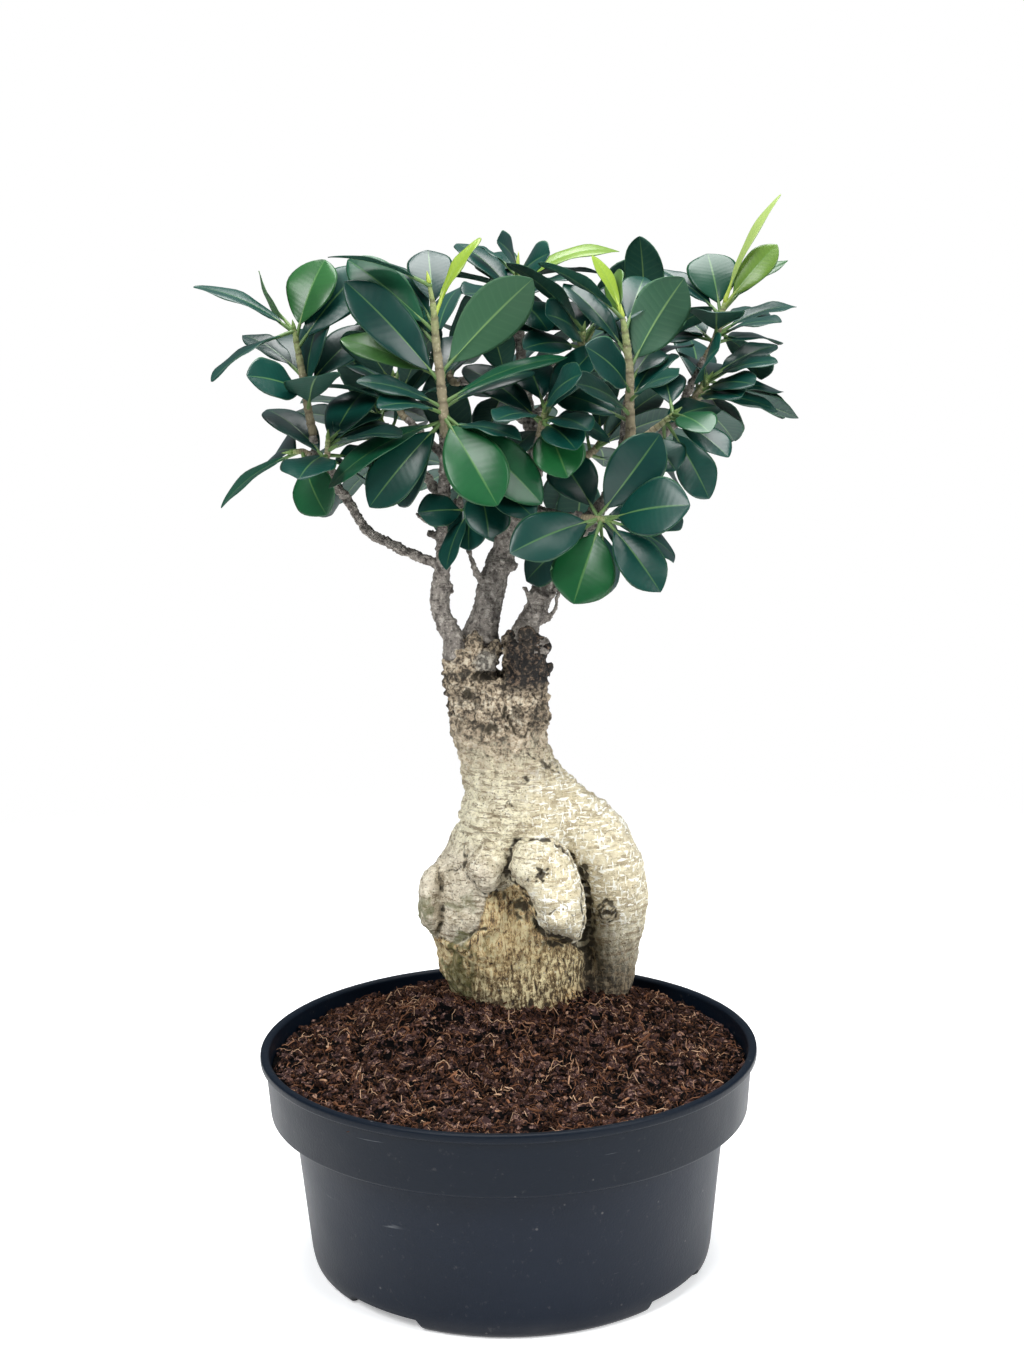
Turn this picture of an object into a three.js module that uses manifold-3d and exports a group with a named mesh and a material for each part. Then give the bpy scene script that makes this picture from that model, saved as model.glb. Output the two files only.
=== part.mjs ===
// A grafted fig bonsai with a swollen root, in its round nursery pot. Millimetres, +Z up.
// The origin is the middle of the pot's underside, where the pot stands, and -Y is the front.
import * as THREE from "three";
import { mergeVertices } from "three/addons/utils/BufferGeometryUtils.js";
import Module from "manifold-3d";

const wasm = await Module();
wasm.setup();

// Driving dimensions of the pot.
const RIM_RADIUS = 120;
const POT_HEIGHT = 105;
const LIP_HEIGHT = 4;
const COLLAR_DEPTH = 30;
const COLLAR_TOP_RADIUS = 117.6;
const COLLAR_FOOT_RADIUS = 115.6;
const WALL_TOP_RADIUS = 105;
const WALL_FOOT_RADIUS = 98;
const FOOT_OUTER_RADIUS = 94;
const FOOT_INNER_RADIUS = 88;
const SHEET = 1.9;
const UNDERSIDE = 4;
const CENTRE_FOOT_RADIUS = 24;
const NOTCH_HALF_ANGLE = 0.2;
const NOTCH_HEIGHT = 3.8;
const NOTCH_FIRST = -0.663;
const NOTCH_COUNT = 4;
const DRAIN_RADIUS = 5;
const DRAIN_RING = 68;
const DRAIN_COUNT = 8;
const POT_SIDES = 36;

// Driving dimensions of the soil: its level at the wall, and the mound round the root.
const SOIL_LEVEL = 96.5;
const MOUND_HEIGHT = 17;
const MOUND_REACH = 72;
const ROOT_PLACE = new THREE.Vector2(12, 54);
const GAP = 0.35;

// Driving dimensions of a leaf.
const BLADE = 1.2;
const PETIOLE = 8;
const PETIOLE_WIDTH = 1.7;
const BEND = 0.07;
const FOLD = 0.16;
const LEAF_CLEARANCE = 2.3;
const WOOD_CLEARANCE = 1.3;
const SETTLE_ROUNDS = 90;

// The plant is set out as it is seen from the front, by x and z on the plane y = 0.
// A place at depth y lies on the line from the eye through that reading.
const EYE = new THREE.Vector3(0, -836.4, 403.9);

const materials = {
  plastic: new THREE.MeshStandardMaterial({ color: 0x2d3038, roughness: 0.48, metalness: 0 }),
  peat: new THREE.MeshStandardMaterial({ color: 0x3b2117, roughness: 1, metalness: 0 }),
  root: new THREE.MeshStandardMaterial({ color: 0xc8ba97, roughness: 0.85, metalness: 0 }),
  bark: new THREE.MeshStandardMaterial({ color: 0x7b7066, roughness: 0.9, metalness: 0 }),
  leaf: new THREE.MeshStandardMaterial({ color: 0x1c4a30, roughness: 0.35, metalness: 0 }),
};

function reach(y) {
  return (y - EYE.y) / -EYE.y;
}

function sight(x, z, y) {
  return EYE.clone().lerp(new THREE.Vector3(x, 0, z), reach(y));
}

// Every run draws the same numbers.
let seed = 1201;
function draw(low, high) {
  seed = (seed * 16807) % 2147483647;
  return low + (high - low) * (seed / 2147483647);
}

// Solids: a closed three.js mesh becomes a solid, and its joined result a mesh again.
function solidOf(geometry) {
  const bare = geometry.clone();
  bare.deleteAttribute("normal");
  bare.deleteAttribute("uv");
  const merged = mergeVertices(bare, 1e-4);
  const mesh = new wasm.Mesh({
    numProp: 3,
    vertProperties: new Float32Array(merged.attributes.position.array),
    triVerts: new Uint32Array(merged.index.array),
  });
  return new wasm.Manifold(mesh);
}

function joined(solids) {
  return solids.reduce((whole, solid) => whole.add(solid));
}

// The largest body alone: scraps are dropped and sealed hollows are filled.
function oneBody(solid) {
  const bodies = solid.decompose();
  bodies.sort((a, b) => b.volume() - a.volume());
  return bodies[0];
}

function meshOf(name, solid, material) {
  const { vertProperties, triVerts } = solid.getMesh();
  const geometry = new THREE.BufferGeometry();
  geometry.setAttribute("position", new THREE.BufferAttribute(vertProperties, 3));
  geometry.setIndex(new THREE.BufferAttribute(triVerts, 1));
  geometry.computeVertexNormals();
  const mesh = new THREE.Mesh(geometry, material);
  mesh.name = name;
  return mesh;
}

// A loft through rings of equal length, closed by a fan at each end; a ring of one point is a tip.
function loft(rings) {
  const corners = [];
  const faces = [];
  const starts = rings.map((ring) => {
    const start = corners.length;
    corners.push(...ring);
    return start;
  });
  const sides = Math.max(...rings.map((ring) => ring.length));
  for (let i = 0; i + 1 < rings.length; i++) {
    const [a, b] = [starts[i], starts[i + 1]];
    for (let k = 0; k < sides; k++) {
      const next = (k + 1) % sides;
      if (rings[i + 1].length === 1) {
        faces.push([a + k, a + next, b]);
      } else if (rings[i].length === 1) {
        faces.push([a, b + next, b + k]);
      } else {
        faces.push([a + k, a + next, b + next], [a + k, b + next, b + k]);
      }
    }
  }
  const cap = (start, turn) => {
    for (let k = 1; k + 1 < sides; k++) {
      faces.push(turn ? [start, start + k, start + k + 1] : [start, start + k + 1, start + k]);
    }
  };
  if (rings[0].length > 1) cap(starts[0], false);
  if (rings[rings.length - 1].length > 1) cap(starts[starts.length - 1], true);
  return closedSolid(corners, faces);
}

// Turns the faces outward, whichever way the rings ran.
function closedSolid(corners, faces) {
  let volume = 0;
  for (const [a, b, c] of faces) {
    volume += corners[a].dot(corners[b].clone().cross(corners[c]));
  }
  const geometry = new THREE.BufferGeometry();
  geometry.setFromPoints(corners);
  geometry.setIndex(faces.flatMap(([a, b, c]) => (volume > 0 ? [a, b, c] : [a, c, b])));
  return solidOf(geometry);
}

function tangentAt(points, i) {
  const before = points[Math.max(i - 1, 0)];
  const after = points[Math.min(i + 1, points.length - 1)];
  return after.clone().sub(before).normalize();
}

// A round limb: rings square to the path, their start carried along so that they don't twist.
function tube(points, radii, sides) {
  let across = new THREE.Vector3(0, 1, 0);
  const first = tangentAt(points, 0);
  if (Math.abs(first.y) > 0.8) across = new THREE.Vector3(1, 0, 0);
  const rings = points.map((point, i) => {
    const along = tangentAt(points, i);
    across.addScaledVector(along, -across.dot(along)).normalize();
    const up = along.clone().cross(across);
    return ringOf(point, across, up, radii[i], radii[i], sides);
  });
  return loft(rings);
}

function ringOf(centre, across, up, width, depth, sides) {
  return Array.from({ length: sides }, (_, k) => {
    const turn = (2 * Math.PI * k) / sides;
    return centre
      .clone()
      .addScaledVector(across, width * Math.cos(turn))
      .addScaledVector(up, depth * Math.sin(turn));
  });
}

// A swollen limb of the root: rows of x, z, depth y, half width seen from the front, half depth.
// It can be grown a little, at its far end too, to cut the hole that it stands in.
function swelling(rows, sides, grow) {
  const points = rows.map(([x, z, y]) => sight(x, z, y));
  const last = points[points.length - 1];
  last.addScaledVector(tangentAt(points, points.length - 1), grow);
  const rings = points.map((point, i) => {
    const [, , y, width, depth] = rows[i];
    const along = tangentAt(points, i);
    const across = new THREE.Vector3(0, 1, 0).cross(along).normalize();
    const up = along.clone().cross(across);
    return ringOf(point, across, up, width * reach(y) + grow, depth * reach(y) + grow, sides);
  });
  return loft(rings);
}

// The pot: one moulded sheet, stepped out to a collar, with feet between notches and a middle foot.
function potSolid() {
  const step = POT_HEIGHT - COLLAR_DEPTH;
  const lip = POT_HEIGHT - LIP_HEIGHT;
  const inside = insideProfile(0);
  const profile = [
    [0, 0],
    [CENTRE_FOOT_RADIUS, 0],
    [CENTRE_FOOT_RADIUS, UNDERSIDE],
    [FOOT_INNER_RADIUS, UNDERSIDE],
    [FOOT_INNER_RADIUS, 0],
    [FOOT_OUTER_RADIUS, 0],
    [WALL_FOOT_RADIUS - 1, 2.4],
    [WALL_FOOT_RADIUS, 7],
    [WALL_TOP_RADIUS, step],
    [COLLAR_FOOT_RADIUS, step],
    [COLLAR_TOP_RADIUS, lip],
    [RIM_RADIUS, lip],
    [RIM_RADIUS, POT_HEIGHT - 1],
    [RIM_RADIUS - 1, POT_HEIGHT],
    [COLLAR_TOP_RADIUS - 0.6, POT_HEIGHT],
    ...inside.reverse(),
  ];
  let pot = turned(profile);
  for (let k = 0; k < NOTCH_COUNT; k++) {
    pot = pot.subtract(notch(NOTCH_FIRST + (k * 2 * Math.PI) / NOTCH_COUNT));
  }
  for (let k = 0; k < DRAIN_COUNT; k++) {
    const turn = (k * 2 * Math.PI) / DRAIN_COUNT;
    const drain = new THREE.CylinderGeometry(DRAIN_RADIUS, DRAIN_RADIUS, 4 * UNDERSIDE, 8);
    drain.rotateX(Math.PI / 2);
    drain.translate(DRAIN_RING * Math.cos(turn), DRAIN_RING * Math.sin(turn), UNDERSIDE);
    pot = pot.subtract(solidOf(drain));
  }
  return pot;
}

// The pot's inside from the middle of its floor to its rim, or that profile held in by a gap.
function insideProfile(gap) {
  const step = POT_HEIGHT - COLLAR_DEPTH + SHEET;
  const floor = UNDERSIDE + SHEET + gap;
  const inset = SHEET + gap;
  return [
    [0, floor],
    [WALL_FOOT_RADIUS - inset - 3, floor],
    [WALL_FOOT_RADIUS - inset, floor + 4],
    [WALL_TOP_RADIUS - inset, step + gap],
    [COLLAR_FOOT_RADIUS - inset, step + gap],
    [COLLAR_TOP_RADIUS - inset, POT_HEIGHT - 1],
  ];
}

function turned(profile) {
  const points = profile.map(([radius, z]) => new THREE.Vector2(radius, z));
  const geometry = new THREE.LatheGeometry(points, POT_SIDES);
  geometry.rotateX(Math.PI / 2);
  return solidOf(geometry);
}

// A gap between two feet, as a wedge that widens outward.
function notch(turn) {
  const shape = new THREE.Shape();
  const inner = FOOT_INNER_RADIUS - 4;
  const outer = RIM_RADIUS;
  const corners = [
    [inner, -NOTCH_HALF_ANGLE],
    [outer, -NOTCH_HALF_ANGLE],
    [outer, NOTCH_HALF_ANGLE],
    [inner, NOTCH_HALF_ANGLE],
  ];
  shape.setFromPoints(corners.map(([radius, aside]) => {
    const angle = turn + aside;
    return new THREE.Vector2(radius * Math.cos(angle), radius * Math.sin(angle));
  }));
  const geometry = new THREE.ExtrudeGeometry(shape, { depth: 2 * NOTCH_HEIGHT, bevelEnabled: false });
  geometry.translate(0, 0, -NOTCH_HEIGHT);
  return solidOf(geometry);
}

// The soil fills the pot and mounds up round the root, which stands in a plain hole in it.
function soilSolid() {
  const inside = insideProfile(GAP);
  const [topRadius, topZ] = inside.pop();
  const [stepRadius, stepZ] = inside[inside.length - 1];
  const share = (SOIL_LEVEL - stepZ) / (topZ - stepZ);
  const edge = stepRadius + share * (topRadius - stepRadius);
  const ringShares = [1, 0.86, 0.68, 0.48, 0.26];
  const rings = inside.slice(1).map(([radius, z]) => flatRing(radius, () => z));
  rings.push(...ringShares.map((part) => flatRing(edge * part, soilHeight)));
  rings.unshift([new THREE.Vector3(0, 0, inside[0][1])]);
  rings.push([new THREE.Vector3(0, 0, soilHeight(0, 0))]);
  return loft(rings).subtract(rootSolid(GAP));
}

function flatRing(radius, height) {
  return Array.from({ length: POT_SIDES }, (_, k) => {
    const turn = (2 * Math.PI * k) / POT_SIDES;
    const x = radius * Math.cos(turn);
    const y = radius * Math.sin(turn);
    return new THREE.Vector3(x, y, height(x, y));
  });
}

function soilHeight(x, y) {
  const away = Math.hypot(x - ROOT_PLACE.x, y - ROOT_PLACE.y) / MOUND_REACH;
  const toWall = Math.hypot(x, y) / COLLAR_TOP_RADIUS;
  const mound = MOUND_HEIGHT * Math.exp(-away * away) * (1 - toWall ** 8);
  const ripple = 1.1 * Math.sin(x / 11 + 1) * Math.cos(y / 13) * (1 - toWall ** 4);
  return SOIL_LEVEL + mound + ripple;
}

// The rootstock, as swollen limbs that have grown into one another.
// Each row is x, z, depth y, half width, half depth.
const rootLimbs = [
  {
    // The stump, the neck and the wide front root.
    sides: 14,
    rows: [
      [-2.8, 283, 52, 21.6, 18],
      [-2.6, 272, 52, 22.9, 20],
      [-2.1, 260, 52, 22.9, 20.5],
      [-0.4, 249, 52, 21.4, 20],
      [1.6, 240, 52, 22.4, 21],
      [4.5, 230, 51.5, 24.2, 24],
      [6.2, 219, 51, 27.8, 27],
      [5.6, 207, 51, 27.6, 29],
      [2.2, 195, 51, 31, 30],
      [-0.5, 182, 51, 36, 30.5],
      [-1, 170, 51, 37, 30.5],
      [0.5, 160, 51, 36.5, 30],
      [2.4, 149, 52, 35, 28.5],
      [6, 138, 52.5, 32.4, 27],
      [10, 127, 53, 29.6, 26],
      [14, 116, 53.5, 27.6, 25],
      [16, 100, 54, 24, 22],
      [17, 80, 55, 14, 13],
    ],
  },
  {
    // The callus round the left and the middle graft.
    sides: 9,
    rows: [
      [-14, 268, 51, 9.5, 15],
      [-14.6, 283, 50.5, 12.4, 15.5],
      [-14.8, 290, 50, 12.8, 14.5],
      [-14.8, 297, 50, 12, 12.5],
    ],
  },
  {
    // The callus round the right graft.
    sides: 8,
    rows: [
      [11, 268, 51, 8.4, 14],
      [10.2, 283, 50.5, 9.8, 14],
      [10.2, 291, 50, 9.8, 12.5],
      [10.2, 299, 50, 9, 11],
    ],
  },
  {
    // The thick root that arches over to the right and down behind.
    sides: 12,
    rows: [
      [8, 240, 52, 11, 14],
      [20.4, 225.4, 53, 14.4, 18],
      [33.6, 213, 54, 15.6, 19.5],
      [45, 201.5, 55, 16.4, 20],
      [50.6, 189.5, 56.5, 16, 20],
      [52.2, 177, 58.5, 15.6, 19],
      [51.6, 163, 61, 14.6, 17.5],
      [50, 149, 64.5, 13.4, 16.5],
      [48.6, 135, 67.5, 12.4, 15.5],
      [47, 122, 70, 11.4, 14],
      [45, 108, 71, 10, 12],
      [42, 92, 71, 7, 8],
    ],
  },
  {
    // The root that goes down at the back on the left.
    sides: 10,
    rows: [
      [-8, 198, 60, 17, 18],
      [-14.6, 174, 67, 18, 17],
      [-14, 150, 74, 15.6, 15],
      [-8, 126, 82, 13, 13],
      [-5, 104, 84, 10, 10],
      [-4, 86, 85, 6, 7],
    ],
  },
  {
    // The lobe that hangs over the front.
    sides: 10,
    rows: [
      [10, 203, 27, 6, 6],
      [13.4, 197, 21, 12.5, 12],
      [18, 187, 18, 16.5, 14],
      [22.6, 176, 17, 15.4, 13.5],
      [26.4, 167, 17.5, 12.8, 12],
      [28.8, 160, 19, 10.2, 9.6],
      [30.6, 154.5, 21.5, 5.6, 5.6],
    ],
  },
  {
    // The round burl beside it, with a drop at its foot.
    sides: 10,
    rows: [
      [-9, 202, 25, 4, 4],
      [-8.6, 196.5, 22, 8.8, 8],
      [-8.2, 189.5, 20.5, 10.4, 9.5],
      [-8, 182.5, 21.5, 7.8, 7.5],
      [-7.6, 177, 23, 4.6, 5],
      [-7.4, 172, 25, 2, 3],
    ],
  },
  {
    // The ear-shaped ridge on the left.
    sides: 8,
    rows: [
      [-29.6, 193.5, 43, 3, 4],
      [-34.4, 187, 39.5, 4.8, 7.5],
      [-37, 178.5, 37.5, 5, 9],
      [-37.2, 169.5, 37, 5, 9],
      [-33.8, 161.5, 39, 3.9, 7],
      [-31, 156, 41, 3, 4],
    ],
  },
  {
    // The fold that shelves over the front root.
    sides: 8,
    rows: [
      [-32.4, 158, 37, 3.4, 4],
      [-23, 153.6, 29, 4.6, 5],
      [-13, 157, 25, 4.8, 5],
      [-5.6, 163, 23, 4, 4.6],
      [1, 170, 22.5, 3, 4],
    ],
  },
];

function rootSolid(grow) {
  return joined(rootLimbs.map(({ rows, sides }) => swelling(rows, sides, grow)));
}

// The places where the branches stand, on the flat tops of the calluses: x is the branch's own.
const LEFT_SEAT = { top: 297, depth: 50 };
const RIGHT_SEAT = { top: 299, depth: 50 };

// The grafted branches: each row is x, z, depth y, thickness. A branch's first limb stands on its
// seat, and the others start inside the wood of that branch.
const branches = {
  branch_left: [
    {
      sides: 7,
      seat: LEFT_SEAT,
      rows: [
        [-21.2, 297, 44, 9.4],
        [-21.6, 301, 44, 8.8],
        [-26, 308, 44, 8.6],
        [-28.8, 317.5, 44, 8.8],
        [-27.8, 330, 44, 7.4],
        [-26.4, 341, 43, 7.2],
        [-26, 352, 41, 6.2],
        [-25.5, 368, 36, 5.6],
        [-25, 385, 27, 5],
        [-25, 398, 20, 4.6],
      ],
    },
    {
      sides: 6,
      rows: [
        [-28, 336, 44, 5],
        [-33, 338.5, 45, 5.2],
        [-47.5, 344.5, 46, 5],
        [-61.5, 353, 46, 4.8],
        [-70, 366.5, 46, 4.4],
        [-77, 375.5, 45, 4.2],
        [-84, 387, 45, 4],
        [-86, 399, 45, 3.8],
      ],
    },
    { sides: 5, rows: [[-76, 374, 45, 3], [-76.5, 379, 41, 3], [-79, 384, 37, 2.8]] },
    { sides: 5, rows: [[-84, 387, 45, 3], [-86.5, 388.4, 44.5, 2.8], [-88.5, 389.2, 44, 2.6]] },
    { sides: 5, rows: [[-26, 349, 42, 3.6], [-34, 351.6, 42, 3.2]] },
    { sides: 5, rows: [[-25.6, 364, 38, 4.2], [-34, 378, 54, 3.8], [-46, 388, 70, 3.4]] },
    { sides: 5, rows: [[-25, 386, 27, 4], [-34, 396, 38, 3.6], [-43, 405, 46, 3.2]] },
  ],
  branch_middle: [
    {
      sides: 9,
      seat: LEFT_SEAT,
      rows: [
        [-11, 297, 56.5, 15.4],
        [-10.4, 301, 56, 15],
        [-8, 310, 54, 14.8],
        [-5.4, 321, 53, 14.4],
        [-2.2, 332, 52, 13.6],
        [1.6, 343, 52, 11.6],
        [6, 357, 53, 9.6],
        [12, 368, 55, 8.8],
        [16.5, 382, 59, 7.6],
        [15, 400, 66, 6.4],
        [12, 425, 72, 5.4],
        [10, 448, 75, 4.6],
      ],
    },
    { sides: 6, rows: [[10, 363, 54, 5], [20, 360.5, 44, 4.6], [32, 358, 30, 4.2], [40, 357, 22, 3.8]] },
    { sides: 5, rows: [[3, 350, 52, 4.4], [-4, 353, 42, 4], [-10, 356.5, 33, 3.4]] },
    { sides: 5, rows: [[16, 385, 60, 4.6], [18, 390, 49, 4.2], [19.5, 396, 37, 3.8]] },
    { sides: 5, rows: [[15, 400, 66, 4.8], [26, 415, 57, 4.2], [35, 426, 51, 3.8]] },
    { sides: 5, rows: [[15, 402, 67, 4.4], [10, 404, 82, 4], [8, 406, 92, 3.4]] },
    { sides: 5, rows: [[12, 368, 55, 4.6], [2, 371, 68, 4.2], [-8, 375, 80, 3.6]] },
    { sides: 5, rows: [[16.5, 384, 60, 4.8], [28, 383, 73, 4.2], [38, 385, 86, 3.6]] },
    { sides: 5, rows: [[12, 424, 72, 4.2], [24, 427, 79, 3.8], [34, 431, 85, 3.4]] },
    { sides: 5, rows: [[12, 426, 72, 4.2], [-3, 422, 79, 3.8], [-18, 421, 85, 3.4]] },
    { sides: 5, rows: [[-6, 322, 50, 3], [-13, 337, 46, 2.4], [-17, 357, 45, 2.2], [-18, 370, 45, 2]] },
  ],
  branch_right: [
    {
      sides: 9,
      seat: RIGHT_SEAT,
      rows: [
        [10.2, 299, 50, 13.4],
        [10.8, 303, 50, 12],
        [12.6, 308, 50, 11],
        [16, 314, 50, 11],
        [18.5, 322, 50, 10],
        [22.5, 329, 50, 9],
        [31, 343, 49, 7.8],
        [43, 358, 46, 6.6],
        [52, 368, 43, 5.6],
        [53.4, 376, 40, 5],
        [57.5, 386, 34, 4.8],
        [60.5, 394, 29, 4.6],
      ],
    },
    { sides: 6, rows: [[52, 367.6, 43, 4.4], [61, 372, 41, 4.2], [68.6, 376.4, 40, 4]] },
    { sides: 5, rows: [[56.5, 384, 36, 3.8], [60, 388, 34, 3.6], [63.5, 391, 32, 3.4]] },
    {
      sides: 6,
      rows: [
        [45, 360, 46, 5.4],
        [62, 379, 54, 4.8],
        [76, 395, 58, 4.4],
        [83, 402, 59, 4.2],
        [90, 409.5, 60, 4],
      ],
    },
    { sides: 5, rows: [[81, 400, 59, 4], [88, 415, 68, 3.8], [96, 429, 70, 3.6]] },
    { sides: 5, rows: [[56, 372.5, 51, 4.2], [58, 396, 62, 3.8], [61, 419, 71, 3.4]] },
    { sides: 5, rows: [[77, 396, 58, 4], [82, 402, 74, 3.8], [87, 407, 89, 3.4]] },
  ],
};

function woodPath({ rows, seat }) {
  const points = rows.map(([x, z, y]) => sight(x, z, y));
  if (seat) {
    const top = sight(0, seat.top, seat.depth).z + GAP;
    points[0].set(points[1].x, points[1].y, top);
    points[1].z = top + 4;
  }
  return points;
}

function woodRadii({ rows }) {
  return rows.map(([, , y, thickness]) => (thickness / 2) * reach(y));
}

function branchSolid(limbs) {
  return joined(limbs.map((limb) => tube(woodPath(limb), woodRadii(limb), limb.sides)));
}

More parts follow.
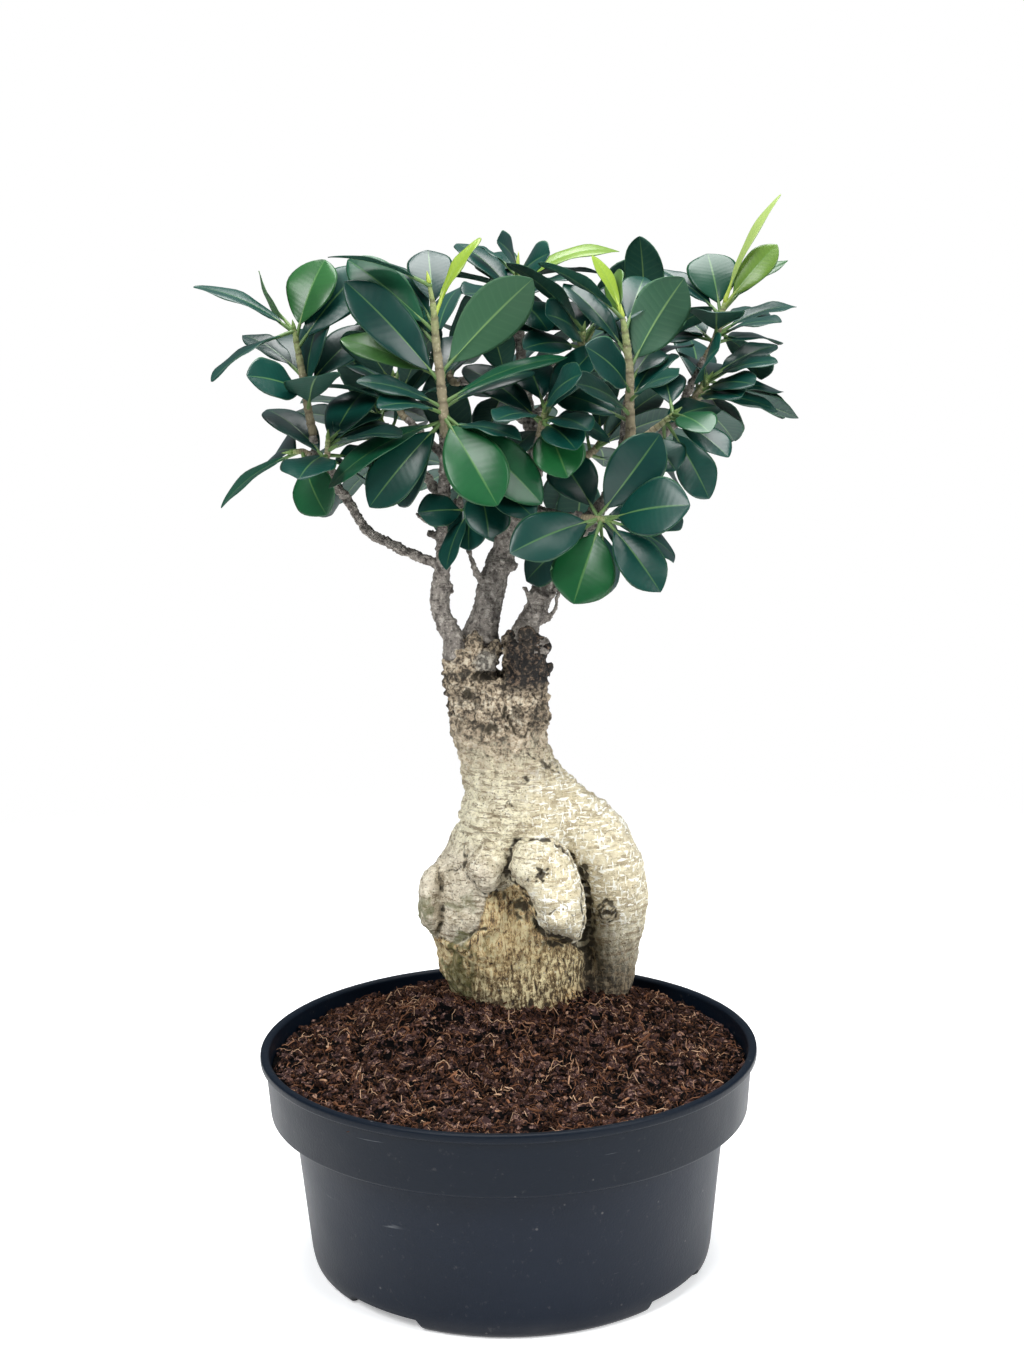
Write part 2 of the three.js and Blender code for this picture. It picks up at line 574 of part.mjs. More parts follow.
// The leafy shoots. Each one goes on from the end of a limb of its branch: stem rows are
// x, z, depth y, thickness. Leaf rows are the x, z of the leaf's base and of its tip, its width,
// the way its upper side faces (up, down, left, right, front, back), and its length, which is
// negative where the tip comes forward. "more" leaves stand round the stem by rule.
const shoots = {
  shoot_left_tip: {
    from: ["branch_left", 1],
    stem: [[-88, 411, 44, 3.6], [-89.5, 423, 43, 3.3], [-91.5, 436, 42, 2.9], [-93, 446, 41, 2.2]],
    leaves: [
      [-93, 444, -138, 467, 17, "uuuf", 55],
      [-93, 445, -107.5, 472.5, 14, "flb", 42],
      [-92, 441, -77, 472, 27, "ffl", 42],
      [-91, 437, -60, 468, 26, "ffl", 52],
      [-89.5, 421, -91, 445, 24, "ffu", 44],
      [-89, 418, -57.6, 437, 22, "fu", 48],
      [-89, 415.5, -113.4, 426, 23, "ffu", -42],
      [-90, 424, -116, 443, 15, "uuf", 42],
      [-88, 409, -84, 424, 27, "uuf", -46],
    ],
    more: 2,
  },
  shoot_left_inner: {
    from: ["branch_left", 2],
    stem: [[-79.4, 389, 35, 2.8], [-79, 396, 33, 2.2]],
    leaves: [
      [-79.2, 394, -56, 413, 22, "uuf", 44],
      [-79.2, 392, -46, 409, 22, "uuf", 52],
      [-79.3, 390, -45, 398, 22, "uuuf", -48],
      [-79.4, 388, -50, 380, 24, "uf", 46],
      [-79.4, 386, -62, 374, 22, "fu", 40],
    ],
    more: 1,
  },
  shoot_left_low: {
    from: ["branch_left", 3],
    stem: [[-93, 390, 42, 2.4], [-96, 389.8, 41, 1.8]],
    leaves: [
      [-92, 389.6, -130.6, 365.5, 17, "uuuf", 50],
      [-90, 389.5, -81.5, 360.6, 25, "ffl", -36],
      [-90, 389.5, -77, 360, 20, "ffr", 42],
    ],
    more: 0,
  },
  shoot_front_left: {
    from: ["branch_left", 0],
    stem: [
      [-25.4, 411, 17, 4.4],
      [-26.5, 425, 15, 4],
      [-28, 440, 14, 3.7],
      [-28.6, 453, 13.5, 3],
      [-30.6, 466, 13, 1.4],
    ],
    leaves: [
      [-26.4, 420, -69, 467, 23, "ffu", -64],
      [-28, 443, -64.4, 480, 21, "fbul", 56],
      [-28, 445, -52.6, 478, 17, "fr", 48],
      [-27.6, 438, -62, 468, 22, "fu", 58],
      [-26.4, 423, -72, 442, 14, "ffu", 52],
      [-25.4, 409, -65, 422, 21, "uuf", -44],
      [-25.2, 406, -55, 411, 21, "uuf", -40],
      [-26, 424, 16.4, 467, 27, "bbbu", 62],
      [-28.4, 450, -7.6, 486.5, 8, "fl", 44],
      [-25.4, 411, 32.4, 431.6, 14, "uuf", 61],
      [-25.4, 409, 17.3, 424.5, 17, "uuf", 50],
      [-25.1, 403, -80.6, 374.5, 22, "uuf", -62],
      [-25.1, 403.5, -60.4, 363.6, 24, "ffu", -52],
      [-25.1, 404, -48, 364, 24, "fu", 52],
      [-25.1, 405, -1, 364, 29, "fffu", -54],
      [-25.2, 406, 19, 363, 24, "ffu", 60],
    ],
    more: 2,
  },
  shoot_front_low: {
    from: ["branch_middle", 2],
    stem: [[-12, 362, 32, 3], [-11.5, 371, 31, 2.6], [-11, 378, 30, 2]],
    leaves: [
      [-12, 361, -38, 361, 18, "ffu", -30],
      [-11, 376, -4.6, 347, 25, "ffr", -33],
      [-11.4, 372, -16, 345, 22, "ffl", -31],
      [-12, 364, -25, 333, 15, "fl", -38],
      [-11, 377, 14, 362, 20, "uf", -40],
    ],
    more: 0,
  },
  shoot_crown_back: {
    from: ["branch_middle", 0],
    stem: [[9.6, 457, 75.5, 4], [9.4, 465, 76, 3.2], [10, 472, 76, 2]],
    leaves: [
      [9.6, 457, -16.6, 481, 22, "fr", 50],
      [9.5, 460, -4, 477, 22, "ffu", 44],
      [9.8, 468, -10, 482.6, 8, "u", 30],
      [9.8, 468, 2, 484, 20, "ffu", -36],
      [9.4, 464, 22, 475, 22, "ffu", -40],
      [9.4, 462, 57.4, 476, 15, "uuuf", 56],
      [9.5, 458, 35, 466, 18, "uuf", -44],
      [9.6, 456, 30, 455, 22, "uf", -50],
      [9.6, 453, -16, 459, 22, "uf", -48],
    ],
    more: 4,
  },
  shoot_crown_middle: {
    from: ["branch_middle", 4],
    stem: [[38.4, 434, 50, 3.4], [40, 443, 50, 2.4]],
    leaves: [
      [38.6, 435, 33, 456, 22, "ffu", 40],
      [40, 441, 0, 449, 19, "uf", 48],
      [39.8, 440, 51, 458, 21, "ffu", 43],
      [38.6, 435, 14, 441, 20, "uf", -40],
      [39, 438, 22, 452, 24, "ffu", -44],
    ],
    more: 2,
  },
  shoot_front_right: {
    from: ["branch_right", 0],
    stem: [[61, 408, 26, 4.2], [61, 424, 25, 3.9], [59.6, 438, 25, 3.4], [58, 449, 25, 2.2]],
    leaves: [
      [58.4, 446, 45.3, 474.5, 10, "fr", 36],
      [60.9, 425, 82.8, 463, 28, "bbbl", 52],
      [60.4, 431, 25.7, 458.7, 17, "uuuf", 50],
      [61, 419, 22.7, 418, 20, "uuf", 46],
      [61, 410, 83.5, 422, 20, "uf", -42],
      [61, 418, 73, 433, 20, "uf", 42],
      [58.6, 445, 52, 471, 14, "fl", 34],
      [59, 442, 69.5, 466, 20, "ffu", 44],
      [60.8, 401, 29, 408.5, 19, "uf", 46],
      [61, 404, 36, 420, 22, "uf", -44],
      [61, 414, 42, 436, 22, "ffu", -46],
    ],
    more: 2,
  },
  shoot_right_tip: {
    from: ["branch_right", 4],
    stem: [[100.6, 438, 69, 3.4], [103, 447, 67, 3], [105, 455, 66, 2]],
    leaves: [
      [103, 448, 97, 477.5, 26, "ffu", 38],
      [104.4, 452, 128.8, 480.4, 15, "ffl", 42],
      [105, 454, 130, 503, 6, "ful", 58],
      [104, 451, 133.5, 474, 9, "uuf", 44],
      [103.4, 448, 74.8, 469, 13, "uuf", 44],
      [100.8, 439, 101, 452, 27, "uuf", -42],
      [102, 443, 124.6, 453, 18, "uuf", 36],
      [101.4, 440, 137.5, 451.5, 17, "uuuf", 44],
      [101, 439, 130.7, 446, 17, "uuf", -40],
      [100.6, 437, 74.5, 439, 19, "uf", 40],
      [100.4, 436, 84, 448, 19, "ffu", 36],
    ],
    more: 1,
  },
  shoot_right_low: {
    from: ["branch_right", 3],
    stem: [[94, 414, 57, 3.4], [97.5, 420, 54, 2.4]],
    leaves: [
      [95, 417, 101, 435, 27, "ufl", -42],
      [97, 420, 128.8, 436.5, 18, "uuf", 40],
      [96.4, 418.6, 130, 426.5, 17, "uuf", -40],
      [94, 415, 119.6, 415, 19, "uf", -40],
      [92.4, 412, 130, 405.6, 19, "uuf", 44],
      [92, 411.6, 114.6, 408, 19, "uf", -42],
    ],
    more: 1,
  },
  shoot_right_inner: {
    from: ["branch_right", 2],
    stem: [[70, 396, 30, 3], [77, 401, 28, 2.7], [82, 405, 27, 2]],
    leaves: [
      [81, 404, 98, 396, 19, "uf", -34],
      [80, 402.6, 106.7, 383.6, 19, "uuf", -40],
      [78, 401, 97.8, 365, 20, "ffu", 44],
      [68, 394, 82.2, 379, 21, "ffu", -30],
      [77, 400, 85, 370, 21, "ful", 42],
      [81, 404, 76, 424, 20, "fu", 40],
    ],
    more: 1,
  },
  shoot_low_right: {
    from: ["branch_middle", 1],
    stem: [[46, 356.6, 16, 3.2], [50.5, 355.8, 12, 2.2]],
    leaves: [
      [50, 355.6, 88, 363, 27, "uuf", -46],
      [47.6, 356, 34, 317, 31, "ffu", -43],
      [46, 356, 5, 342, 25, "uff", -50],
      [46.4, 356, 28, 385, 24, "ffu", 44],
      [49.6, 355.6, 75, 322, 22, "ffu", -46],
      [49.8, 355.6, 82, 338, 22, "uf", 50],
      [46, 356, 12, 328, 22, "ffu", 56],
    ],
    more: 1,
  },
  shoot_centre: {
    from: ["branch_middle", 3],
    stem: [[20.6, 402, 28, 3.2], [22, 408, 23, 2.2]],
    leaves: [
      [21, 403, -1, 404, 19, "uuf", -40],
      [21, 402, 42, 399, 19, "uuf", -42],
      [20.6, 401, 36, 389, 20, "uf", -40],
      [21, 403, 32, 376, 25, "ffu", -38],
      [21.4, 404, 56.6, 397.5, 22, "uf", 44],
      [22, 407, 14, 428, 22, "fu", 40],
      [22, 406, 38, 424, 22, "ful", -42],
    ],
    more: 1,
  },
  shoot_inner_left: {
    from: ["branch_left", 6],
    stem: [[-46, 413, 49, 3], [-48, 424, 50, 2.2]],
    leaves: [],
    more: 7,
  },
  shoot_back_left: {
    from: ["branch_left", 5],
    stem: [[-52, 398, 82, 3.2], [-57, 410, 90, 2.2]],
    leaves: [],
    more: 8,
  },
  shoot_back_middle: {
    from: ["branch_middle", 5],
    stem: [[6, 412, 102, 3.2], [4, 422, 108, 2.2]],
    leaves: [],
    more: 7,
  },
  shoot_back_low_left: {
    from: ["branch_middle", 6],
    stem: [[-14, 381, 92, 3.2], [-17, 388, 100, 2.2]],
    leaves: [],
    more: 8,
  },
  shoot_back_low_right: {
    from: ["branch_middle", 7],
    stem: [[45, 389, 97, 3.2], [50, 397, 105, 2.2]],
    leaves: [],
    more: 7,
  },
  shoot_back_top_right: {
    from: ["branch_middle", 8],
    stem: [[40, 437, 93, 3.2], [45, 445, 100, 2.2]],
    leaves: [],
    more: 6,
  },
  shoot_back_top_left: {
    from: ["branch_middle", 9],
    stem: [[-24, 428, 91, 3.2], [-28, 437, 96, 2.2]],
    leaves: [],
    more: 6,
  },
  shoot_back_right: {
    from: ["branch_right", 5],
    stem: [[64, 428, 75, 3.2], [67, 437, 77, 2.2]],
    leaves: [],
    more: 5,
  },
  shoot_back_far_right: {
    from: ["branch_right", 6],
    stem: [[91, 412, 98, 3.2], [96, 420, 103, 2.2]],
    leaves: [],
    more: 6,
  },
};

const compass = {
  f: new THREE.Vector3(0, -1, 0),
  b: new THREE.Vector3(0, 1, 0),
  u: new THREE.Vector3(0, 0, 1),
  d: new THREE.Vector3(0, 0, -1),
  l: new THREE.Vector3(-1, 0, 0),
  r: new THREE.Vector3(1, 0, 0),
};

function facing(letters) {
  const sum = new THREE.Vector3();
  for (const letter of letters) sum.add(compass[letter]);
  return sum.normalize();
}

// A stem goes straight on from the end of its limb, a gap away from the end's flat face.
function stemOf({ from: [branch, limb], stem }) {
  const path = woodPath(branches[branch][limb]);
  const end = path[path.length - 1];
  const along = tangentAt(path, path.length - 1);
  const points = [end.clone().addScaledVector(along, GAP), end.clone().addScaledVector(along, GAP + 2.5)];
  points.push(...stem.map(([x, z, y]) => sight(x, z, y)));
  const endRadius = woodRadii(branches[branch][limb]).pop();
  const radii = [endRadius, endRadius, ...woodRadii({ rows: stem })];
  return { points, radii };
}

// The point on a stem that lies nearest to a reading, as it is seen from the front.
function nearestOnStem(points, x, z) {
  const target = sight(x, z, 0).sub(EYE).normalize();
  let best = points[0];
  let least = Infinity;
  for (let i = 1; i + 1 < points.length; i++) {
    for (let share = 0; share <= 1; share += 0.05) {
      const point = points[i].clone().lerp(points[i + 1], share);
      const off = point.clone().sub(EYE).cross(target).length();
      if (off < least) {
        least = off;
        best = point;
      }
    }
  }
  return best;
}

// The tip's depth is what the leaf's length needs, ahead of its base or behind it.
function tipOf(base, x, z, length) {
  let depth = base.y;
  for (let i = 0; i < 6; i++) {
    const tip = sight(x, z, depth);
    const flat = Math.hypot(tip.x - base.x, tip.z - base.z);
    const away = Math.sqrt(Math.max(0, length * length - flat * flat));
    depth = base.y + Math.sign(length) * away;
  }
  return sight(x, z, depth);
}

// Half width as a share of the leaf's half width, from the blade's foot to its tip.
// Leaves set by rule have one section fewer.
const OUTLINE = [[0, 0.1], [0.3, 0.84], [0.6, 1], [0.87, 0.66], [1, 0]];
const PLAIN_OUTLINE = [[0, 0.1], [0.36, 0.95], [0.8, 0.84], [1, 0]];

function makeLeaf(shoot, base, tip, face, width, outline) {
  return { shoot, base, tip, face, width, outline, length: tip.distanceTo(base) };
}

function handLeaf(shoot, points, [baseX, baseZ, tipX, tipZ, width, letters, length]) {
  const base = nearestOnStem(points, baseX, baseZ);
  return makeLeaf(shoot, base, tipOf(base, tipX, tipZ, length), facing(letters), width, OUTLINE);
}

// Leaves by rule stay under the crown's top, which falls away beyond its shoulders.
const CROWN_TOP = 474;
const CROWN_SHOULDER = 95;
const CROWN_FALL = 1.2;
function underTop(base, tip) {
  const length = tip.distanceTo(base);
  for (let i = 0; i < 4; i++) {
    const beyond = Math.max(0, Math.abs(tip.x) - CROWN_SHOULDER);
    tip.z = Math.min(tip.z, CROWN_TOP - CROWN_FALL * beyond);
    tip.sub(base).setLength(length).add(base);
  }
  return tip;
}

// Leaves by rule: up the stem in the golden angle, flatter at its foot, the upper side inward.
const GOLDEN_ANGLE = 2.39996;
const FIRST_TURN = 2.6;
function ruleLeaf(shoot, points, k, count) {
  const share = count === 1 ? 0.6 : 0.42 + (0.56 * k) / (count - 1);
  const scaled = share * (points.length - 1);
  const i = Math.min(Math.floor(scaled), points.length - 2);
  const base = points[i].clone().lerp(points[i + 1], scaled - i);
  const stem = points[points.length - 1].clone().sub(points[0]).normalize();
  const across = new THREE.Vector3(1, 0, 0).cross(stem).normalize();
  const aside = stem.clone().cross(across);
  const turn = FIRST_TURN + k * GOLDEN_ANGLE + draw(-0.25, 0.25);
  const rise = 0.25 + 0.65 * share + draw(-0.12, 0.12);
  const out = across.multiplyScalar(Math.cos(turn)).addScaledVector(aside, Math.sin(turn));
  const along = out.multiplyScalar(Math.cos(rise)).addScaledVector(stem, Math.sin(rise)).normalize();
  const tip = underTop(base, base.clone().addScaledVector(along, draw(42, 56)));
  return makeLeaf(shoot, base, tip, stem.clone().add(compass.u), draw(20, 26), PLAIN_OUTLINE);
}

const stems = {};
const leaves = [];
for (const [name, shoot] of Object.entries(shoots)) {
  stems[name] = stemOf(shoot);
  const { points } = stems[name];
  for (const row of shoot.leaves) leaves.push(handLeaf(name, points, row));
  for (let k = 0; k < shoot.more; k++) {
    leaves.push(ruleLeaf(name, points, k, shoot.more));
  }
}

// A leaf's own axes: along it, across it, and out of its upper side.
function axesOf(leaf) {
  const along = leaf.tip.clone().sub(leaf.base).normalize();
  const out = leaf.face.clone().addScaledVector(along, -leaf.face.dot(along)).normalize();
  const across = out.clone().cross(along);
  return { along, out, across };
}

function halfWidth(leaf, share) {
  const foot = PETIOLE / leaf.length;
  const part = (share - foot) / (1 - foot);
  if (part <= 0) return PETIOLE_WIDTH / 2;
  for (let i = 1; i < leaf.outline.length; i++) {
    const [start, wide] = leaf.outline[i - 1];
    const [end, next] = leaf.outline[i];
    if (part <= end) return (leaf.width / 2) * (wide + ((next - wide) * (part - start)) / (end - start));
  }
  return 0;
}

function archAt(leaf, share) {
  return BEND * leaf.length * 4 * share * (1 - share);
}

function onLeaf(leaf, axes, share, side) {
  const wide = side * halfWidth(leaf, share);
  return leaf.base
    .clone()
    .addScaledVector(axes.along, leaf.length * share)
    .addScaledVector(axes.across, wide)
    .addScaledVector(axes.out, archAt(leaf, share) + FOLD * Math.abs(wide));
}

// Leaves that would cross are bent clear: each is turned about its own base, a little at a time,
// and mostly ahead or behind, until it lies beside its neighbours and clear of the wood.
const SAMPLES = [];
for (const share of [0.2, 0.35, 0.5, 0.62, 0.74, 0.86, 0.96]) {
  for (const side of [-0.9, 0, 0.9]) SAMPLES.push([share, side]);
}
const OWN_SHOOT_START = 0.45;
const DEPTH_FAVOUR = 1.5;
const LONGEST_STEP = 2.5;

function movedTip(leaf, shift) {
  const tip = leaf.tip.clone().add(shift.clampLength(0, LONGEST_STEP));
  leaf.tip = tip.sub(leaf.base).setLength(leaf.length).add(leaf.base);
}

function pushApart(a, b) {
  const axesA = axesOf(a);
  const axesB = axesOf(b);
  const kin = a.shoot === b.shoot;
  let sum = 0;
  const inside = [];
  for (const [share, side] of SAMPLES) {
    if (kin && share < OWN_SHOOT_START) continue;
    const off = onLeaf(a, axesA, share, side).sub(b.base);
    const place = off.dot(axesB.along) / b.length;
    if (place < (kin ? OWN_SHOOT_START : 0.05) || place > 1.03) continue;
    const aside = Math.abs(off.dot(axesB.across));
    if (aside > halfWidth(b, Math.min(place, 0.97)) + 1) continue;
    const height = off.dot(axesB.out) - archAt(b, place) - FOLD * aside;
    sum += height;
    inside.push([share, place, height]);
  }
  if (!inside.length) return 0;
  const way = sum >= 0 ? 1 : -1;
  let [worstShare, worstPlace, least] = inside[0];
  for (const [share, place, height] of inside) {
    if (way * height < way * least) [worstShare, worstPlace, least] = [share, place, height];
  }
  const need = LEAF_CLEARANCE - way * least;
  if (need <= 0) return 0;
  const push = axesB.out.clone();
  push.y *= 1 + DEPTH_FAVOUR;
  push.multiplyScalar((way * need * 0.5) / push.dot(axesB.out));
  movedTip(a, push.clone().divideScalar(Math.max(worstShare, 0.4)));
  movedTip(b, push.clone().divideScalar(-Math.max(worstPlace, 0.4)));
  return need;
}

function clearOfWood(leaf, wood) {
  const axes = axesOf(leaf);
  let worst = 0;
  for (const { start, end, radius, owner } of wood) {
    const line = new THREE.Line3(start, end);
    for (const [share, side] of SAMPLES) {
      if (owner === leaf.shoot && share < 0.5) continue;
      const point = onLeaf(leaf, axes, share, side);
      const foot = line.closestPointToPoint(point, true, new THREE.Vector3());
      const away = point.clone().sub(foot);
      const need = radius + WOOD_CLEARANCE - away.length();
      if (need <= 0) continue;
      worst = Math.max(worst, need);
      movedTip(leaf, away.setLength(need / Math.max(share, 0.4)));
    }
  }
  return worst;
}

function woodSegments() {
  const segments = [];
  const addPath = (points, radii, owner) => {
    for (let i = 0; i + 1 < points.length; i++) {
      const radius = Math.max(radii[i], radii[i + 1]);
      segments.push({ start: points[i], end: points[i + 1], radius, owner });
    }
  };
  for (const [name, limbs] of Object.entries(branches)) {
    for (const limb of limbs) addPath(woodPath(limb), woodRadii(limb), name);
  }
  for (const [name, { points, radii }] of Object.entries(stems)) addPath(points, radii, name);
  return segments;
}

function settle() {
  const middle = (leaf) => leaf.base.clone().lerp(leaf.tip, 0.5);
  const near = [];
  leaves.forEach((a, i) => {
    for (const b of leaves.slice(i + 1)) {
      if (middle(a).distanceTo(middle(b)) < (a.length + b.length) / 2 + 12) near.push([a, b]);
    }
  });
  const segments = woodSegments();
  const closeWood = leaves.map((leaf) => segments.filter(({ start, end }) => {
    const foot = new THREE.Line3(start, end).closestPointToPoint(middle(leaf), true, new THREE.Vector3());
    return foot.distanceTo(middle(leaf)) < leaf.length / 2 + 18;
  }));
  for (let round = 0; round < SETTLE_ROUNDS; round++) {
    for (const [a, b] of near) {
      pushApart(a, b);
      pushApart(b, a);
    }
    leaves.forEach((leaf, i) => clearOfWood(leaf, closeWood[i]));
  }
}

// A leaf's solid: four-cornered sections, two on the upper and lower side of the midrib.
function leafSolid(leaf) {
  const axes = axesOf(leaf);
  const foot = PETIOLE / leaf.length;
  const shares = [0, ...leaf.outline.map(([part]) => foot + part * (1 - foot))];
  const rings = shares.map((share, i) => {
    if (i === shares.length - 1) return [leaf.tip.clone()];
    const thick = (i < 2 ? PETIOLE_WIDTH : BLADE) / 2;
    const rib = onLeaf(leaf, axes, share, 0);
    return [
      onLeaf(leaf, axes, share, 1),
      rib.clone().addScaledVector(axes.out, thick),
      onLeaf(leaf, axes, share, -1),
      rib.clone().addScaledVector(axes.out, -thick),
    ];
  });
  return loft(rings);
}

settle();

function shootSolid(name) {
  const { points, radii } = stems[name];
  const solids = leaves.filter((leaf) => leaf.shoot === name).map(leafSolid);
  return oneBody(joined([tube(points, radii, 6), ...solids]));
}

const bonsai = new THREE.Group();
bonsai.add(meshOf("pot", potSolid(), materials.plastic));
bonsai.add(meshOf("soil", soilSolid(), materials.peat));
bonsai.add(meshOf("rootstock", oneBody(rootSolid(0)), materials.root));
for (const [name, limbs] of Object.entries(branches)) {
  bonsai.add(meshOf(name, branchSolid(limbs), materials.bark));
}
for (const name of Object.keys(shoots)) {
  bonsai.add(meshOf(name, shootSolid(name), materials.leaf));
}

export default bonsai;
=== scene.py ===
import itertools
import math

import bpy
import numpy as np
from mathutils import Matrix, Vector, noise


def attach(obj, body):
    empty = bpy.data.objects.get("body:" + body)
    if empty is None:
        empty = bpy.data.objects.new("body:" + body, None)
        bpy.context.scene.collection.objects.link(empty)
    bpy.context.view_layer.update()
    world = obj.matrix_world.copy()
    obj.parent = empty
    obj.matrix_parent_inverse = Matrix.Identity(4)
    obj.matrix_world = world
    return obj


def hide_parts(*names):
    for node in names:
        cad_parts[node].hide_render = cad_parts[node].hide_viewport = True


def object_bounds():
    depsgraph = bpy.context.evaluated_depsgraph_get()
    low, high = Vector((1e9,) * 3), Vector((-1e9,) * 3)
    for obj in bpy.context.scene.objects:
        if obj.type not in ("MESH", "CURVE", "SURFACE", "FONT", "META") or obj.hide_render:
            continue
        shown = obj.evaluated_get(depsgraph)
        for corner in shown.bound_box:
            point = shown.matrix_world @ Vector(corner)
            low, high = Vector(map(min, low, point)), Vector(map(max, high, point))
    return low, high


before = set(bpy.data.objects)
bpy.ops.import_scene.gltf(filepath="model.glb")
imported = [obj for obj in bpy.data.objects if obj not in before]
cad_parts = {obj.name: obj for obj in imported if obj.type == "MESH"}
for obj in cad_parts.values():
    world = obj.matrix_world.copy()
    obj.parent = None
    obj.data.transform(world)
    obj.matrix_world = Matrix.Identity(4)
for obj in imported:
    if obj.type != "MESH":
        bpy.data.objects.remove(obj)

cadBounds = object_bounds()
mm = 0.001
fullTurn = 2 * math.pi
anyTurn = 6.28  # the top of a random turn

# The camera, fitted to the pot's ellipses, in millimetres and degrees.
# The plant's places are read from its eye: x and z on the plane y = 0.
camera = {
    "eye": (0.0, -836.4, 403.9),
    "focal": 1787.5,
    "frame": (1024, 1365),
    "centre": (502.4, 682.5),
    "tiltDown": 8.414,
    "roll": 0.954,
}
eye = np.array(camera["eye"])


def placeCamera():
    wide, tall = camera["frame"]
    data = bpy.data.cameras.new("view")
    data.sensor_fit = "VERTICAL"
    data.sensor_height = 36
    data.lens = 36 * camera["focal"] / tall
    data.shift_x = (wide / 2 - camera["centre"][0]) / tall
    data.clip_end = 20
    lookUp = Matrix.Rotation(math.radians(90 - camera["tiltDown"]), 4, "X")
    turn = Matrix.Rotation(math.radians(-camera["roll"]), 4, "Z")
    seen = bpy.data.objects.new("view", data)
    seen.matrix_world = Matrix.Translation(Vector(eye) * mm) @ lookUp @ turn
    bpy.context.scene.collection.objects.link(seen)
    bpy.context.scene.camera = seen


placeCamera()
print("camera placed")


# Shader maths: a wire is a socket that can stand in an expression.
class Wire:
    def __init__(self, finish, socket):
        self.finish = finish
        self.socket = socket

    def __add__(self, other):
        return self.finish.maths("ADD", self, other)

    def __sub__(self, other):
        return self.finish.maths("SUBTRACT", self, other)

    def __rsub__(self, other):
        return self.finish.maths("SUBTRACT", other, self)

    def __mul__(self, other):
        return self.finish.maths("MULTIPLY", self, other)

    def __pow__(self, other):
        return self.finish.maths("POWER", self, other)

    __radd__ = __add__
    __rmul__ = __mul__


class Finish:
    def __init__(self, name):
        self.material = bpy.data.materials.new(name)
        self.material.use_nodes = True
        self.tree = self.material.node_tree
        self.tree.nodes.clear()

    def node(self, kind, settings=None, sockets=None, out=0):
        made = self.tree.nodes.new("ShaderNode" + kind)
        for key, value in (settings or {}).items():
            if key == "stops":
                self.setStops(made.color_ramp, value)
            else:
                setattr(made, key, value)
        for key, value in (sockets or {}).items():
            if isinstance(value, Wire):
                self.tree.links.new(value.socket, made.inputs[key])
            else:
                made.inputs[key].default_value = value
        return Wire(self, made.outputs[out]) if made.outputs else None

    def setStops(self, ramp, stops):
        while len(ramp.elements) < len(stops):
            ramp.elements.new(0.5)
        for element, (place, colour) in zip(ramp.elements, stops):
            element.position = place
            element.color = (*colour, 1)

    def maths(self, operation, *values):
        return self.node("Math", {"operation": operation}, dict(enumerate(values)))

    def smooth(self, value, low, high):
        sockets = {"Value": value, "From Min": low, "From Max": high}
        return self.node("MapRange", {"interpolation_type": "SMOOTHSTEP"}, sockets)

    def mix(self, share, a, b):
        whole = [value if isinstance(value, Wire) else (*value, 1) for value in (a, b)]
        return self.node("Mix", {"data_type": "RGBA"}, {0: share, 6: whole[0], 7: whole[1]}, out=2)

    def ramp(self, value, stops):
        return self.node("ValToRGB", {"stops": stops}, {0: value})

    def noise(self, place, scale, detail=3.0, rough=0.55, twist=0.0):
        sockets = {"Vector": place, "Scale": scale, "Detail": detail}
        sockets.update({"Roughness": rough, "Distortion": twist})
        return self.node("TexNoise", {}, sockets)

    def cells(self, place, scale, feature="F1"):
        return self.node("TexVoronoi", {"feature": feature}, {"Vector": place, "Scale": scale})

    def place(self):
        return self.node("TexCoord", out=3)

    def stretched(self, place, scale):
        return self.node("Mapping", {}, {"Vector": place, "Scale": scale})

    def attribute(self, name, out=2):
        return self.node("Attribute", {"attribute_name": name}, out=out)

    def split(self, vector, axis):
        return self.node("SeparateXYZ", {}, {0: vector}, out=axis)

    def bump(self, height, strength, distance):
        return self.node("Bump", {}, {"Height": height, "Strength": strength, "Distance": distance})

    def surface(self, **sockets):
        named = {key.replace("_", " "): value for key, value in sockets.items()}
        skin = self.node("BsdfPrincipled", {}, named)
        self.node("OutputMaterial", {}, {"Surface": skin})
        return self.material


# How much larger than its reading a thing at some depth is, and where a reading lies there.
def reach(depth):
    return (depth - eye[1]) / -eye[1]


def sight(x, z, depth):
    return eye + (np.array([x, 0.0, z]) - eye) * reach(depth)


def sightPath(rows):
    return [sight(row[0], row[1], row[2]) for row in rows]


def unit(vector):
    return vector / np.linalg.norm(vector)


# The plant's own draws, the same in every run.
class Draws:
    def __init__(self, seed):
        self.seed = seed

    def between(self, low, high):
        self.seed = (self.seed * 16807) % 2147483647
        return low + (high - low) * (self.seed / 2147483647)


def tangentAt(points, i):
    return unit(points[min(i + 1, len(points) - 1)] - points[max(i - 1, 0)])


# A piece is one mesh in metres, made from points in millimetres.
def makePiece(name, points, faces, finishes, faceFinish=None, smooth=True):
    mesh = bpy.data.meshes.new(name)
    mesh.from_pydata((np.asarray(points) * mm).tolist(), [], faces)
    for finish in finishes:
        mesh.materials.append(finish)
    if faceFinish is not None:
        mesh.polygons.foreach_set("material_index", np.asarray(faceFinish, dtype=np.int32))
    mesh.polygons.foreach_set("use_smooth", [smooth] * len(mesh.polygons))
    mesh.update()
    piece = bpy.data.objects.new(name, mesh)
    bpy.context.scene.collection.objects.link(piece)
    return piece


def setAttribute(mesh, name, values):
    layer = mesh.attributes.new(name, "FLOAT_VECTOR", "POINT")
    layer.data.foreach_set("vector", np.asarray(values, dtype=np.float32).ravel())


